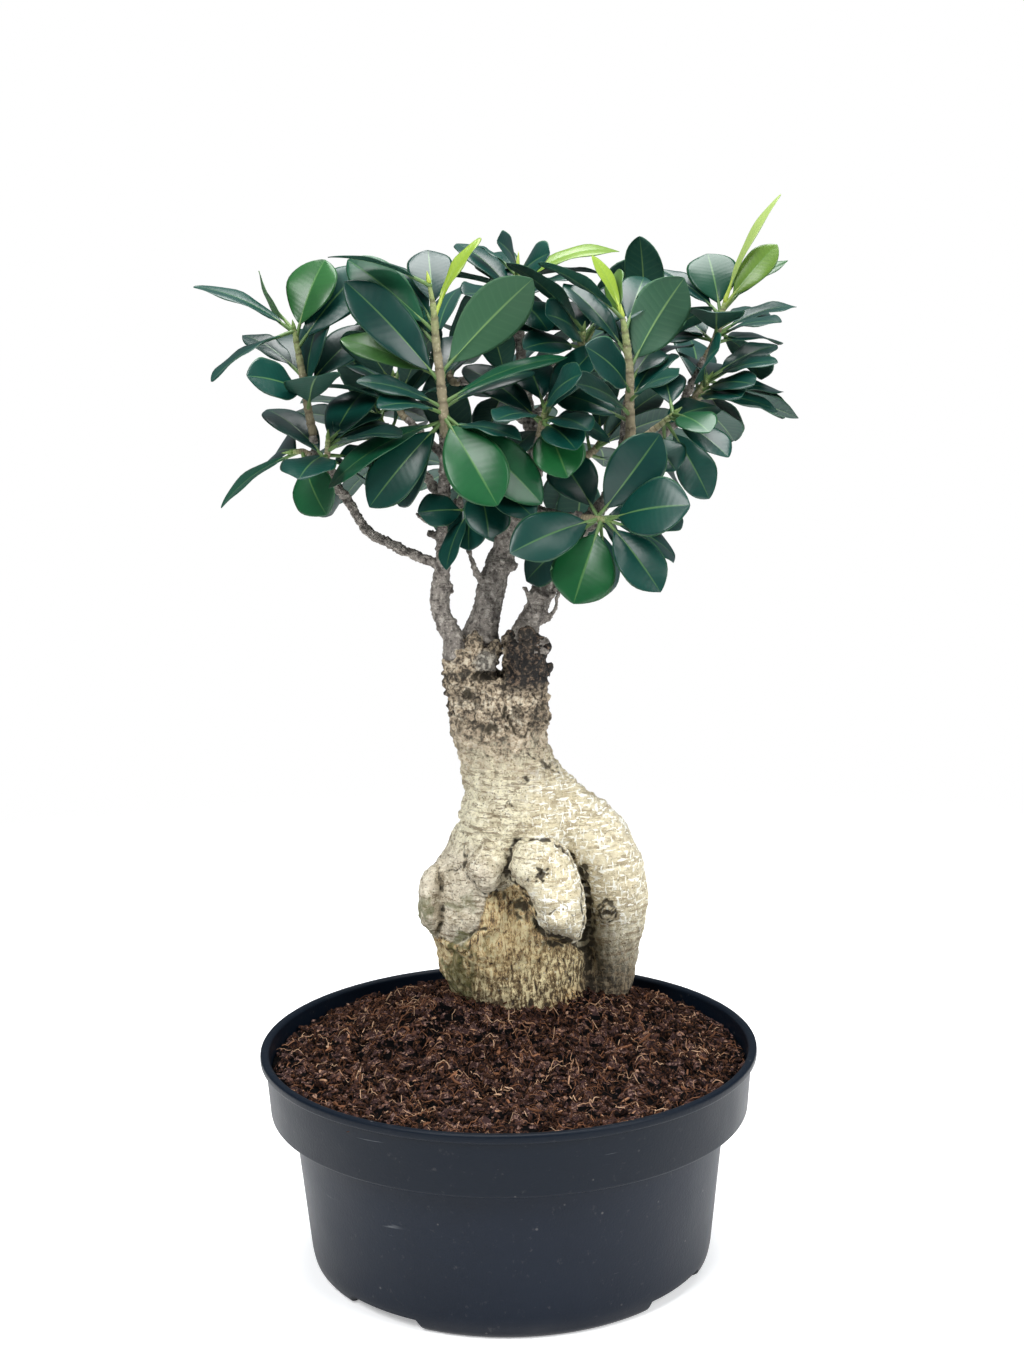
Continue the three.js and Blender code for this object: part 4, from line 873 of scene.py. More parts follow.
# Stem rows are x, z, depth y, thickness. Leaf rows are the x, z of the leaf's base and of its tip,
# its width, the way its upper side faces, its length, negative where the tip comes forward, and its
# youth: 0 for an old dark leaf, 1 for a yellow-green one. "more" leaves stand by rule.
shoots = {
    "shoot_left_tip": {
        "from": ["branch_left", 1], "more": 2,
        "stem": [[-88, 411, 44, 3.6], [-89.5, 423, 43, 3.3], [-91.5, 436, 42, 2.9], [-93, 446, 41, 2.2]],
        "leaves": [
            [-93, 444, -138, 467, 17, "uuuf", 55, 0.15], [-93, 445, -107.5, 472.5, 14, "flb", 42, 0.45],
            [-92, 441, -77, 472, 27, "ffl", 42, 0.38], [-91, 437, -60, 468, 26, "ffl", 52],
            [-89.5, 421, -91, 445, 24, "ffu", 44], [-89, 418, -57.6, 437, 22, "fu", 48],
            [-89, 415.5, -113.4, 426, 23, "ffu", -42], [-90, 424, -116, 443, 15, "uuf", 42],
            [-88, 409, -84, 424, 27, "uuf", -46],
        ],
    },
    "shoot_left_inner": {
        "from": ["branch_left", 2], "more": 1,
        "stem": [[-79.4, 389, 35, 2.8], [-79, 396, 33, 2.2]],
        "leaves": [
            [-79.2, 394, -56, 413, 22, "uuf", 44], [-79.2, 392, -46, 409, 22, "uuf", 52],
            [-79.3, 390, -45, 398, 22, "uuuf", -48], [-79.4, 388, -50, 380, 24, "uf", 46],
            [-79.4, 386, -62, 374, 22, "fu", 40],
        ],
    },
    "shoot_left_low": {
        "from": ["branch_left", 3], "more": 0,
        "stem": [[-93, 390, 42, 2.4], [-96, 389.8, 41, 1.8]],
        "leaves": [
            [-92, 389.6, -130.6, 365.5, 17, "uuuf", 50, 0.2],
            [-90, 389.5, -81.5, 360.6, 25, "ffl", -36, 0.25], [-90, 389.5, -77, 360, 20, "ffr", 42],
        ],
    },
    "shoot_front_left": {
        "from": ["branch_left", 0], "more": 2,
        "stem": [
            [-25.4, 411, 17, 4.4], [-26.5, 425, 15, 4], [-28, 440, 14, 3.7], [-28.6, 453, 13.5, 3],
            [-30.6, 466, 13, 1.4],
        ],
        "leaves": [
            [-26.4, 420, -69, 467, 23, "ffu", -64], [-28, 443, -64.4, 480, 21, "fbul", 56, 0.22],
            [-28, 445, -52.6, 478, 17, "fr", 48, 0.16], [-27.6, 438, -62, 468, 22, "fu", 58],
            [-26.4, 423, -72, 442, 14, "ffu", 52, 0.45], [-25.4, 409, -65, 422, 21, "uuf", -44],
            [-25.2, 406, -55, 411, 21, "uuf", -40], [-26, 424, 16.4, 467, 27, "bbbu", 62, 0.22],
            [-28.4, 450, -7.6, 486.5, 8, "fl", 44, 0.95], [-25.4, 411, 32.4, 431.6, 14, "uuf", 61, 0.22],
            [-25.4, 409, 17.3, 424.5, 17, "uuf", 50], [-25.1, 403, -80.6, 374.5, 22, "uuf", -62, 0.22],
            [-25.1, 403.5, -60.4, 363.6, 24, "ffu", -52, 0.16], [-25.1, 404, -48, 364, 24, "fu", 52],
            [-25.1, 405, -1, 364, 29, "fffu", -54, 0.28], [-25.2, 406, 19, 363, 24, "ffu", 60, 0.25],
        ],
    },
    "shoot_front_low": {
        "from": ["branch_middle", 2], "more": 0,
        "stem": [[-12, 362, 32, 3], [-11.5, 371, 31, 2.6], [-11, 378, 30, 2]],
        "leaves": [
            [-12, 361, -38, 361, 18, "ffu", -30], [-11, 376, -4.6, 347, 25, "ffr", -33],
            [-11.4, 372, -16, 345, 22, "ffl", -31], [-12, 364, -25, 333, 15, "fl", -38],
            [-11, 377, 14, 362, 20, "uf", -40],
        ],
    },
    "shoot_crown_back": {
        "from": ["branch_middle", 0], "more": 4,
        "stem": [[9.6, 457, 75.5, 4], [9.4, 465, 76, 3.2], [10, 472, 76, 2]],
        "leaves": [
            [9.6, 457, -16.6, 481, 22, "fr", 50], [9.5, 460, -4, 477, 22, "ffu", 44],
            [9.8, 468, -10, 482.6, 8, "u", 30], [9.8, 468, 2, 484, 20, "ffu", -36],
            [9.4, 464, 22, 475, 22, "ffu", -40], [9.4, 462, 57.4, 476, 15, "uuuf", 56, 0.7],
            [9.5, 458, 35, 466, 18, "uuf", -44], [9.6, 456, 30, 455, 22, "uf", -50],
            [9.6, 453, -16, 459, 22, "uf", -48],
        ],
    },
    "shoot_crown_middle": {
        "from": ["branch_middle", 4], "more": 2,
        "stem": [[38.4, 434, 50, 3.4], [40, 443, 50, 2.4]],
        "leaves": [
            [38.6, 435, 33, 456, 22, "ffu", 40], [40, 441, 0, 449, 19, "uf", 48],
            [39.8, 440, 51, 458, 21, "ffu", 43], [38.6, 435, 14, 441, 20, "uf", -40],
            [39, 438, 22, 452, 24, "ffu", -44],
        ],
    },
    "shoot_front_right": {
        "from": ["branch_right", 0], "more": 2,
        "stem": [[61, 408, 26, 4.2], [61, 424, 25, 3.9], [59.6, 438, 25, 3.4], [58, 449, 25, 2.2]],
        "leaves": [
            [58.4, 446, 45.3, 474.5, 10, "fr", 36, 0.95], [60.9, 425, 82.8, 463, 28, "bbbl", 52, 0.2],
            [60.4, 431, 25.7, 458.7, 17, "uuuf", 50], [61, 419, 22.7, 418, 20, "uuf", 46],
            [61, 410, 83.5, 422, 20, "uf", -42], [61, 418, 73, 433, 20, "uf", 42],
            [58.6, 445, 52, 471, 14, "fl", 34, 0.55], [59, 442, 69.5, 466, 20, "ffu", 44],
            [60.8, 401, 29, 408.5, 19, "uf", 46], [61, 404, 36, 420, 22, "uf", -44],
            [61, 414, 42, 436, 22, "ffu", -46],
        ],
    },
    "shoot_right_tip": {
        "from": ["branch_right", 4], "more": 1,
        "stem": [[100.6, 438, 69, 3.4], [103, 447, 67, 3], [105, 455, 66, 2]],
        "leaves": [
            [103, 448, 97, 477.5, 26, "ffu", 38, 0.2], [104.4, 452, 128.8, 480.4, 15, "ffl", 42, 0.62],
            [105, 454, 130, 503, 6, "ful", 58, 1.1], [104, 451, 133.5, 474, 9, "uuf", 44, 0.4],
            [103.4, 448, 74.8, 469, 13, "uuf", 44], [100.8, 439, 101, 452, 27, "uuf", -42],
            [102, 443, 124.6, 453, 18, "uuf", 36], [101.4, 440, 137.5, 451.5, 17, "uuuf", 44],
            [101, 439, 130.7, 446, 17, "uuf", -40], [100.6, 437, 74.5, 439, 19, "uf", 40],
            [100.4, 436, 84, 448, 19, "ffu", 36],
        ],
    },
    "shoot_right_low": {
        "from": ["branch_right", 3], "more": 1,
        "stem": [[94, 414, 57, 3.4], [97.5, 420, 54, 2.4]],
        "leaves": [
            [95, 417, 101, 435, 27, "ufl", -42], [97, 420, 128.8, 436.5, 18, "uuf", 40],
            [96.4, 418.6, 130, 426.5, 17, "uuf", -40], [94, 415, 119.6, 415, 19, "uf", -40],
            [92.4, 412, 130, 405.6, 19, "uuf", 44], [92, 411.6, 114.6, 408, 19, "uf", -42],
        ],
    },
    "shoot_right_inner": {
        "from": ["branch_right", 2], "more": 1,
        "stem": [[70, 396, 30, 3], [77, 401, 28, 2.7], [82, 405, 27, 2]],
        "leaves": [
            [81, 404, 98, 396, 19, "uf", -34, 0.25], [80, 402.6, 106.7, 383.6, 19, "uuf", -40],
            [78, 401, 97.8, 365, 20, "ffu", 44], [68, 394, 82.2, 379, 21, "ffu", -30],
            [77, 400, 85, 370, 21, "ful", 42], [81, 404, 76, 424, 20, "fu", 40],
        ],
    },
    "shoot_low_right": {
        "from": ["branch_middle", 1], "more": 1,
        "stem": [[46, 356.6, 16, 3.2], [50.5, 355.8, 12, 2.2]],
        "leaves": [
            [50, 355.6, 88, 363, 27, "uuf", -46], [47.6, 356, 34, 317, 31, "ffu", -43, 0.28],
            [46, 356, 5, 342, 25, "uff", -50], [46.4, 356, 28, 385, 24, "ffu", 44],
            [49.6, 355.6, 75, 322, 22, "ffu", -46], [49.8, 355.6, 82, 338, 22, "uf", 50],
            [46, 356, 12, 328, 22, "ffu", 56],
        ],
    },
    "shoot_centre": {
        "from": ["branch_middle", 3], "more": 1,
        "stem": [[20.6, 402, 28, 3.2], [22, 408, 23, 2.2]],
        "leaves": [
            [21, 403, -1, 404, 19, "uuf", -40], [21, 402, 42, 399, 19, "uuf", -42],
            [20.6, 401, 36, 389, 20, "uf", -40], [21, 403, 32, 376, 25, "ffu", -38, 0.3],
            [21.4, 404, 56.6, 397.5, 22, "uf", 44], [22, 407, 14, 428, 22, "fu", 40],
            [22, 406, 38, 424, 22, "ful", -42],
        ],
    },
    "shoot_inner_left": {
        "from": ["branch_left", 6], "more": 7,
        "stem": [[-46, 413, 49, 3], [-48, 424, 50, 2.2]],
        "leaves": [],
    },
    "shoot_back_left": {
        "from": ["branch_left", 5], "more": 8,
        "stem": [[-52, 398, 82, 3.2], [-57, 410, 90, 2.2]],
        "leaves": [],
    },
    "shoot_back_middle": {
        "from": ["branch_middle", 5], "more": 7,
        "stem": [[6, 412, 102, 3.2], [4, 422, 108, 2.2]],
        "leaves": [],
    },
    "shoot_back_low_left": {
        "from": ["branch_middle", 6], "more": 8,
        "stem": [[-14, 381, 92, 3.2], [-17, 388, 100, 2.2]],
        "leaves": [],
    },
    "shoot_back_low_right": {
        "from": ["branch_middle", 7], "more": 7,
        "stem": [[45, 389, 97, 3.2], [50, 397, 105, 2.2]],
        "leaves": [],
    },
    "shoot_back_top_right": {
        "from": ["branch_middle", 8], "more": 6,
        "stem": [[40, 437, 93, 3.2], [45, 445, 100, 2.2]],
        "leaves": [],
    },
    "shoot_back_top_left": {
        "from": ["branch_middle", 9], "more": 6,
        "stem": [[-24, 428, 91, 3.2], [-28, 437, 96, 2.2]],
        "leaves": [],
    },
    "shoot_back_right": {
        "from": ["branch_right", 5], "more": 5,
        "stem": [[64, 428, 75, 3.2], [67, 437, 77, 2.2]],
        "leaves": [],
    },
    "shoot_back_far_right": {
        "from": ["branch_right", 6], "more": 6,
        "stem": [[91, 412, 98, 3.2], [96, 420, 103, 2.2]],
        "leaves": [],
    },
}


# Readings: where a point in space shows on the plane y = 0.
def readings(points):
    scale = -eye[1] / (points[:, 1] - eye[1])
    return eye + (points - eye) * scale[:, None]


def woodPath(limb):
    points = sightPath(limb["rows"])
    if "seat" in limb:
        top = sight(0, limb["seat"]["top"], limb["seat"]["depth"])[2] + wood["gap"]
        points[0] = np.array([points[1][0], points[1][1], top])
        points[1][2] = top + 4
    return points


def woodRadii(rows):
    return [row[3] / 2 * reach(row[2]) for row in rows]


def stemOf(shoot):
    branch, number = shoot["from"]
    limb = branches[branch][number]
    path = woodPath(limb)
    along = tangentAt(path, len(path) - 1)
    points = [path[-1] + along * wood["gap"], path[-1] + along * (wood["gap"] + 2.5)]
    points += sightPath(shoot["stem"])
    endRadius = woodRadii(limb["rows"])[-1]
    radii = [endRadius, endRadius] + woodRadii(shoot["stem"])
    return points, radii


def nearestOnStem(points, x, z):
    target = unit(sight(x, z, 0) - eye)
    best, least = points[0], math.inf
    for start, end in zip(points[1:], points[2:]):
        share = 0.0
        while share <= 1:
            point = start + (end - start) * share
            off = np.linalg.norm(np.cross(point - eye, target))
            if off < least:
                best, least = point, off
            share += 0.05
    return best


# The tip that shows at x and z and lies a leaf's length from its base.
def tipOf(base, x, z, length):
    depth = base[1]
    for _ in range(6):
        tip = sight(x, z, depth)
        flat = math.hypot(tip[0] - base[0], tip[2] - base[2])
        away = math.sqrt(max(0, length * length - flat * flat))
        depth = base[1] + math.copysign(away, length)
    return sight(x, z, depth)


compass = {
    "f": (0, -1, 0),
    "b": (0, 1, 0),
    "u": (0, 0, 1),
    "d": (0, 0, -1),
    "l": (-1, 0, 0),
    "r": (1, 0, 0),
}
handOutline = ([0, 0.3, 0.6, 0.87, 1], [0.1, 0.84, 1, 0.66, 0])
ruleOutline = ([0, 0.36, 0.8, 1], [0.1, 0.95, 0.84, 0])
sampleShares = np.repeat([0.2, 0.35, 0.5, 0.62, 0.74, 0.86, 0.96], 3)
sampleSides = np.tile([-0.9, 0, 0.9], 7)


class Leaf:
    def __init__(self, shoot, base, tip, face, width, outline, youth):
        self.shoot = shoot
        self.base = base
        self.tip = tip
        self.face = face
        self.width = width
        self.outline = outline
        self.youth = youth
        self.bend = leafShape["bend"]
        self.length = float(np.linalg.norm(tip - base))
        self.turns = 0
        self.refresh()

    def refresh(self):
        self.along = unit(self.tip - self.base)
        self.out = unit(self.face - self.along * self.face.dot(self.along))
        self.across = np.cross(self.out, self.along)
        wide = sampleSides * self.halfWidth(sampleShares)
        self.samples = self.onBlade(sampleShares, wide)

    def halfWidth(self, share):
        foot = leafShape["petiole"] / self.length
        part = (np.asarray(share) - foot) / (1 - foot)
        wide = np.interp(part, *self.outline) * self.width / 2
        return np.where(part <= 0, leafShape["petioleWidth"] / 2, wide)

    def arch(self, share):
        return self.bend * self.length * 4 * share * (1 - share)

    def onBlade(self, share, wide):
        lift = self.arch(share) + leafShape["fold"] * np.abs(wide)
        place = np.outer(self.length * share, self.along) + np.outer(wide, self.across)
        return self.base + place + np.outer(lift, self.out)

    def shift(self, push):
        far = np.linalg.norm(push)
        if far > leafShape["longestStep"]:
            push = push * (leafShape["longestStep"] / far)
        self.tip = self.base + unit(self.tip + push - self.base) * self.length
        self.turns += 1


def facing(letters):
    return unit(np.sum([compass[letter] for letter in letters], axis=0).astype(float))


def handLeaf(name, points, row):
    baseX, baseZ, tipX, tipZ, width, letters, length = row[:7]
    base = nearestOnStem(points, baseX, baseZ)
    youth = row[7] if len(row) > 7 else leafShape["handYouth"]
    return Leaf(name, base, tipOf(base, tipX, tipZ, length), facing(letters), width, handOutline, youth)


def alongStem(points, share):
    scaled = share * (len(points) - 1)
    i = min(int(scaled), len(points) - 2)
    return points[i] + (points[i + 1] - points[i]) * (scaled - i)


# Leaves by rule stay under the crown's top, which falls away beyond its shoulders.
def underTop(base, tip):
    length = np.linalg.norm(tip - base)
    for _ in range(4):
        beyond = max(0, abs(tip[0]) - leafShape["crownShoulder"])
        tip[2] = min(tip[2], leafShape["crownTop"] - leafShape["crownFall"] * beyond)
        tip = base + unit(tip - base) * length
    return tip


# Leaves by rule stand up the stem in the golden angle, flatter at its foot.
def ruleLeaf(name, points, k, count, draws):
    share = 0.6 if count == 1 else 0.42 + 0.56 * k / (count - 1)
    base = alongStem(points, share)
    stem = unit(points[-1] - points[0])
    across = unit(np.cross((1.0, 0.0, 0.0), stem))
    aside = np.cross(stem, across)
    turn = leafShape["firstTurn"] + k * leafShape["goldenAngle"] + draws.between(-0.25, 0.25)
    rise = 0.25 + 0.65 * share + draws.between(-0.12, 0.12)
    out = across * math.cos(turn) + aside * math.sin(turn)
    along = unit(out * math.cos(rise) + stem * math.sin(rise))
    tip = underTop(base, base + along * draws.between(42, 56))
    face = stem + np.array([0.0, 0.0, 1.0])
    return Leaf(name, base, tip, face, draws.between(20, 26), ruleOutline, 0.05 + 0.1 * share)


# The points of leaf a over or under the blade of leaf b, and how high they stand above it.
def heightOver(a, b):
    kin = a.shoot == b.shoot
    off = a.samples - b.base
    place = off @ b.along / b.length
    aside = np.abs(off @ b.across)
    near = (place >= (leafShape["ownShootStart"] if kin else 0.05)) & (place <= 1.03)
    if kin:
        near &= sampleShares >= leafShape["ownShootStart"]
    near &= aside <= b.halfWidth(np.minimum(place, 0.97)) + 1
    height = off[near] @ b.out - b.arch(place[near]) - leafShape["fold"] * aside[near]
    return near, place[near], height


def pushApart(a, b):
    near, place, height = heightOver(a, b)
    if not near.any():
        return 0
    way = 1 if height.sum() >= 0 else -1
    worst = int(np.argmin(way * height))
    need = leafShape["clearance"] - way * height[worst]
    if need <= 0:
        return 0
    push = b.out * (1, 1 + leafShape["depthFavour"], 1)
    push = push * (way * need * 0.5 / push.dot(b.out))
    a.shift(push / max(sampleShares[near][worst], 0.4))
    b.shift(push / -max(place[worst], 0.4))
    a.refresh()
    b.refresh()
    return need


# The nearest points of some segments to some points: an array of segments by points.
def feet(starts, ends, points):
    run = ends - starts
    square = np.maximum((run * run).sum(axis=1), 1e-12)
    share = ((points[None] - starts[:, None]) * run[:, None]).sum(axis=2) / square[:, None]
    return starts[:, None] + np.clip(share, 0, 1)[..., None] * run[:, None]


def clearOfWood(leaf, near):
    starts, ends, radii, own = near
    away = leaf.samples[None] - feet(starts, ends, leaf.samples)
    need = radii[:, None] + leafShape["woodClearance"] - np.linalg.norm(away, axis=2)
    need[own[:, None] & (sampleShares < 0.5)[None]] = 0
    for i, k in np.argwhere(need > 0):
        leaf.shift(unit(away[i, k]) * (need[i, k] / max(sampleShares[k], 0.4)))
    if (need > 0).any():
        leaf.refresh()


def woodSegments(stems):
    rows = []
    for name, limbs in branches.items():
        for limb in limbs:
            path, radii = woodPath(limb), woodRadii(limb["rows"])
            rows += zip(path, path[1:], map(max, radii, radii[1:]), [name] * len(path))
    for name, (points, radii) in stems.items():
        rows += zip(points, points[1:], map(max, radii, radii[1:]), [name] * len(points))
    return rows


def growLeaves():
    draws = Draws(1201)
    stems = {}
    leaves = []
    for name, shoot in shoots.items():
        stems[name] = stemOf(shoot)
        leaves += [handLeaf(name, stems[name][0], row) for row in shoot["leaves"]]
        leaves += [ruleLeaf(name, stems[name][0], k, shoot["more"], draws) for k in range(shoot["more"])]
    return stems, leaves


# Leaves that would cross are turned clear about their own bases, a little at a time.
def settle(leaves, stems):
    middles = [(leaf.base + leaf.tip) / 2 for leaf in leaves]
    pairs = []
    for i, a in enumerate(leaves):
        for j in range(i + 1, len(leaves)):
            b = leaves[j]
            if np.linalg.norm(middles[i] - middles[j]) < (a.length + b.length) / 2 + 12:
                pairs.append([a, b, -1, -1])
    segments = woodSegments(stems)
    starts = np.array([row[0] for row in segments])
    ends = np.array([row[1] for row in segments])
    radii = np.array([row[2] for row in segments])
    owners = np.array([row[3] for row in segments])
    closeWood = []
    for leaf, middle in zip(leaves, middles):
        off = np.linalg.norm(feet(starts, ends, middle[None])[:, 0] - middle, axis=1)
        near = off < leaf.length / 2 + 18
        closeWood.append((starts[near], ends[near], radii[near], owners[near] == leaf.shoot))
    lastTurns = [-1] * len(leaves)
    for _ in range(leafShape["rounds"]):
        for pair in pairs:
            a, b, turnsA, turnsB = pair
            if a.turns == turnsA and b.turns == turnsB:
                continue
            if pushApart(a, b) + pushApart(b, a) == 0:
                pair[2:] = a.turns, b.turns
        for i, leaf in enumerate(leaves):
            if leaf.turns != lastTurns[i]:
                before = leaf.turns
                clearOfWood(leaf, closeWood[i])
                lastTurns[i] = leaf.turns if leaf.turns == before else -1


# The broad leaf low on the right turns to the front, and the light one at the crown's top arches.
def openLeaves(leaves):
    shoot, letters, width = leafShape["opened"]
    broad = next(leaf for leaf in leaves if leaf.shoot == shoot)
    broad.face = facing(letters)
    broad.width = width
    broad.refresh()
    youth, letters, bend = leafShape["arching"]
    arching = next(leaf for leaf in leaves if leaf.youth == youth)
    arching.face = facing(letters)
    arching.bend = bend
    arching.refresh()


# Where no light comes through the crown, by x and z as seen.
crownOutline = [
    (-107, 459), (-89, 470), (-73, 465), (-60, 477), (-43, 475), (-25, 479), (-9, 480), (11, 478), (22, 464),
    (48, 471), (66, 461), (89, 473), (112, 472), (126, 455), (129, 410), (104, 397), (101, 368), (90, 378),
    (88, 346), (78, 325), (46, 320), (28, 325), (9, 340), (-28, 345), (-37, 366), (-76, 373), (-93, 368),
    (-103, 395), (-111, 423),
]
fill = {
    "seed": 77,
    "cell": 2.0,
    "rounds": 8,
    "tries": 60,
    "leastGain": 12,
    "clearance": 0.9,
    "mostOnShoot": 11,
}
fillShares = np.repeat(np.linspace(0.18, 0.99, 26), 12)
fillSides = np.tile(np.linspace(-1, 1, 12), 26)


# How far points lie from a line of corners, in x and z.
def offLine(x, z, corners):
    nearest = np.full(len(x), math.inf)
    for (ax, az), (bx, bz) in zip(corners, corners[1:]):
        run = (bx - ax) ** 2 + (bz - az) ** 2
        share = np.clip(((x - ax) * (bx - ax) + (z - az) * (bz - az)) / run, 0, 1)
        nearest = np.minimum(nearest, np.hypot(x - ax - share * (bx - ax), z - az - share * (bz - az)))
    return nearest


# How far points lie inside an outline in x and z. It is below 0 outside.
def insideBy(x, z, outline):
    closed = outline + outline[:1]
    inside = np.zeros(len(x), dtype=bool)
    nearest = offLine(x, z, closed)
    for (ax, az), (bx, bz) in zip(closed, closed[1:]):
        if az != bz:
            crossed = ((az > z) != (bz > z)) & (x < ax + (z - az) * (bx - ax) / (bz - az))
            inside ^= crossed
    return np.where(inside, nearest, -nearest)


# The squares of the front view that a leaf covers, and its depth there.
def cellsSeen(leaf):
    blade = leaf.onBlade(fillShares, fillSides * leaf.halfWidth(fillShares))
    seen = readings(blade)
    cells = np.round((seen[:, [0, 2]] + (200, -250)) / fill["cell"]).astype(int)
    cells, first = np.unique(cells[:, 0] * 1000 + cells[:, 1], return_index=True)
    return cells, blade[first, 1]


# Whether a leaf stays in the box and clear of wood and of other leaves.
def roomFor(leaf, others, wood):
    middle = (leaf.base + leaf.tip) / 2
    low, high = np.array(cadBounds) / mm
    if (leaf.samples < low + 2).any() or (leaf.samples > high - 2).any():
        return False
    starts, ends, radii, owners = wood
    near = np.linalg.norm(feet(starts, ends, middle[None])[:, 0] - middle, axis=1) < leaf.length / 2 + 14
    away = np.linalg.norm(leaf.samples[None] - feet(starts[near], ends[near], leaf.samples), axis=2)
    tight = away < radii[near][:, None] + 0.6
    tight[(owners[near] == leaf.shoot)[:, None] & (sampleShares < 0.5)[None]] = False
    if tight.any():
        return False
    for other in others:
        if np.linalg.norm((other.base + other.tip) / 2 - middle) > (leaf.length + other.length) / 2 + 4:
            continue
        for a, b in ((leaf, other), (other, leaf)):
            near, _, height = heightOver(a, b)
            if near.any() and (np.abs(height).min() < fill["clearance"] or height.min() * height.max() < 0):
                return False
    return True


# A leaf at any place and turn on a stem.
def looseLeaf(name, points, rng):
    base = alongStem(points, rng.uniform(0.12, 0.97))
    stem = unit(points[-1] - points[0])
    across = unit(np.cross((1.0, 0.0, 0.0), stem))
    turn = rng.uniform(0, fullTurn)
    rise = rng.uniform(-0.3, 1.05)
    out = across * math.cos(turn) + np.cross(stem, across) * math.sin(turn)
    tip = base + unit(out * math.cos(rise) + stem * math.sin(rise)) * rng.uniform(38, 56)
    face = stem + np.array([0.0, -0.25, 1.0])
    return Leaf(name, base, tip, face, rng.uniform(19, 27), ruleOutline, rng.uniform(0.0, 0.12))


# More leaves, where light would still come through, each with room between its neighbours.
def fillCrown(leaves, stems):
    rng = np.random.default_rng(fill["seed"])
    segments = woodSegments(stems)
    wood = [np.array([row[i] for row in segments]) for i in range(4)]
    covered = {}

    def cover(cells, depths):
        for cell, depth in zip(cells.tolist(), depths.tolist()):
            covered[cell] = min(depth, covered.get(cell, depth))

    for leaf in leaves:
        cover(*cellsSeen(leaf))
    grown = list(leaves)
    count = dict.fromkeys(stems, 0)
    for _ in range(fill["rounds"]):
        for name, (points, _) in stems.items():
            if count[name] >= fill["mostOnShoot"]:
                continue
            offers = []
            for _ in range(fill["tries"]):
                leaf = looseLeaf(name, points, rng)
                cells, depths = cellsSeen(leaf)
                x = cells // 1000 * fill["cell"] - 200
                z = cells % 1000 * fill["cell"] + 250
                inner = insideBy(x, z, crownOutline)
                old = np.array([covered.get(cell, math.inf) for cell in cells.tolist()])
                new = np.isinf(old)
                gain = (new & (inner > 0)).sum() - 3 * (new & (inner < -3)).sum()
                gain -= 0.5 * (~new & (depths < old)).sum()
                if gain >= fill["leastGain"]:
                    offers.append((gain, len(offers), leaf, cells, depths))
            for _, _, leaf, cells, depths in sorted(offers, key=lambda offer: -offer[0]):
                if roomFor(leaf, grown, wood):
                    grown.append(leaf)
                    cover(cells, depths)
                    count[name] += 1
                    break
    return grown


# Width of a blade from its foot to its bluntly pointed tip.
def bladeWidth(part):
    low = 1 - (np.clip((0.6 - part) / 0.6, 0, 1) ** 2.1) * 0.93
    high = (1 - np.clip((part - 0.6) / 0.4, 0, 1) ** 2.3) ** 0.82
    return np.where(part < 0.6, low, high)


bladeParts = np.array([
    0, 0.03, 0.07, 0.13, 0.2, 0.28, 0.36, 0.44, 0.52, 0.6, 0.68, 0.75, 0.82, 0.88, 0.93, 0.965, 0.988,
])
bladeSides = np.array([-1, -0.88, -0.7, -0.5, -0.31, -0.16, -0.06, 0, 0.06, 0.16, 0.31, 0.5, 0.7, 0.88, 1])


def addBlade(heap, leaf, rng):
    foot = leafShape["petiole"] / leaf.length
    phase = rng.uniform(0, anyTurn, 3)
    ruffle, droop, cup = [rng.uniform(*leafShape[key]) for key in ("ruffle", "droop", "cup")]
    tone = (leaf.youth, rng.random(), rng.random())
    half = leaf.width / 2
    points = []
    places = []
    for part in bladeParts:
        share = foot + part * (1 - foot)
        wide = max(float(bladeWidth(part)) * half, leafShape["petioleWidth"] / 2 * (1 - part))
        thick = leafShape["thick"] * (1 - 0.5 * part)
        rib = leafShape["midrib"] * (1 - 0.85 * part)
        top = []
        under = []
        for side in bladeSides:
            x = side * wide
            fold = leafShape["fold"] * (math.sqrt(x * x + 0.7) - 0.84)
            margin = side ** 4 * ruffle * math.sin(part * 13 + phase[0] + (2.2 if side > 0 else 0))
            curl = -cup * abs(x) * side ** 2 + margin - droop * leaf.length * part ** 3
            lift = leaf.arch(share) + fold + curl
            centre = leaf.base + leaf.along * leaf.length * share + leaf.across * x
            groove = leafShape["groove"] * math.exp(-(x / leafShape["grooveWidth"]) ** 2) * (1 - part)
            edge = math.sqrt(max(0, 1 - side ** 6))
            top.append(centre + leaf.out * (lift + thick / 2 * edge - groove))
            ribbed = thick / 2 * edge + rib * math.exp(-(x / leafShape["midribWidth"]) ** 2)
            under.append(centre + leaf.out * (lift - ribbed))
        points += top + under[-2:0:-1]
        places += [(part, side, 0) for side in (*bladeSides, *bladeSides[-2:0:-1])]
    rings = len(bladeParts)
    count = len(points) // rings
    faces = ringFaces(rings, count)
    tip = rings * count
    last = tip - count
    faces += [(last + k, last + (k + 1) % count, tip) for k in range(count)]
    faces.append(tuple(reversed(range(count))))
    points.append(leaf.base + leaf.along * leaf.length + leaf.out * (-droop * leaf.length))
    places.append((1, 0, 0))
    topFaces = len(bladeSides) - 1
    finish = ([0] * topFaces + [1] * (count - topFaces)) * rings + [2]
    heap.add(points, faces, finish, places, tone)


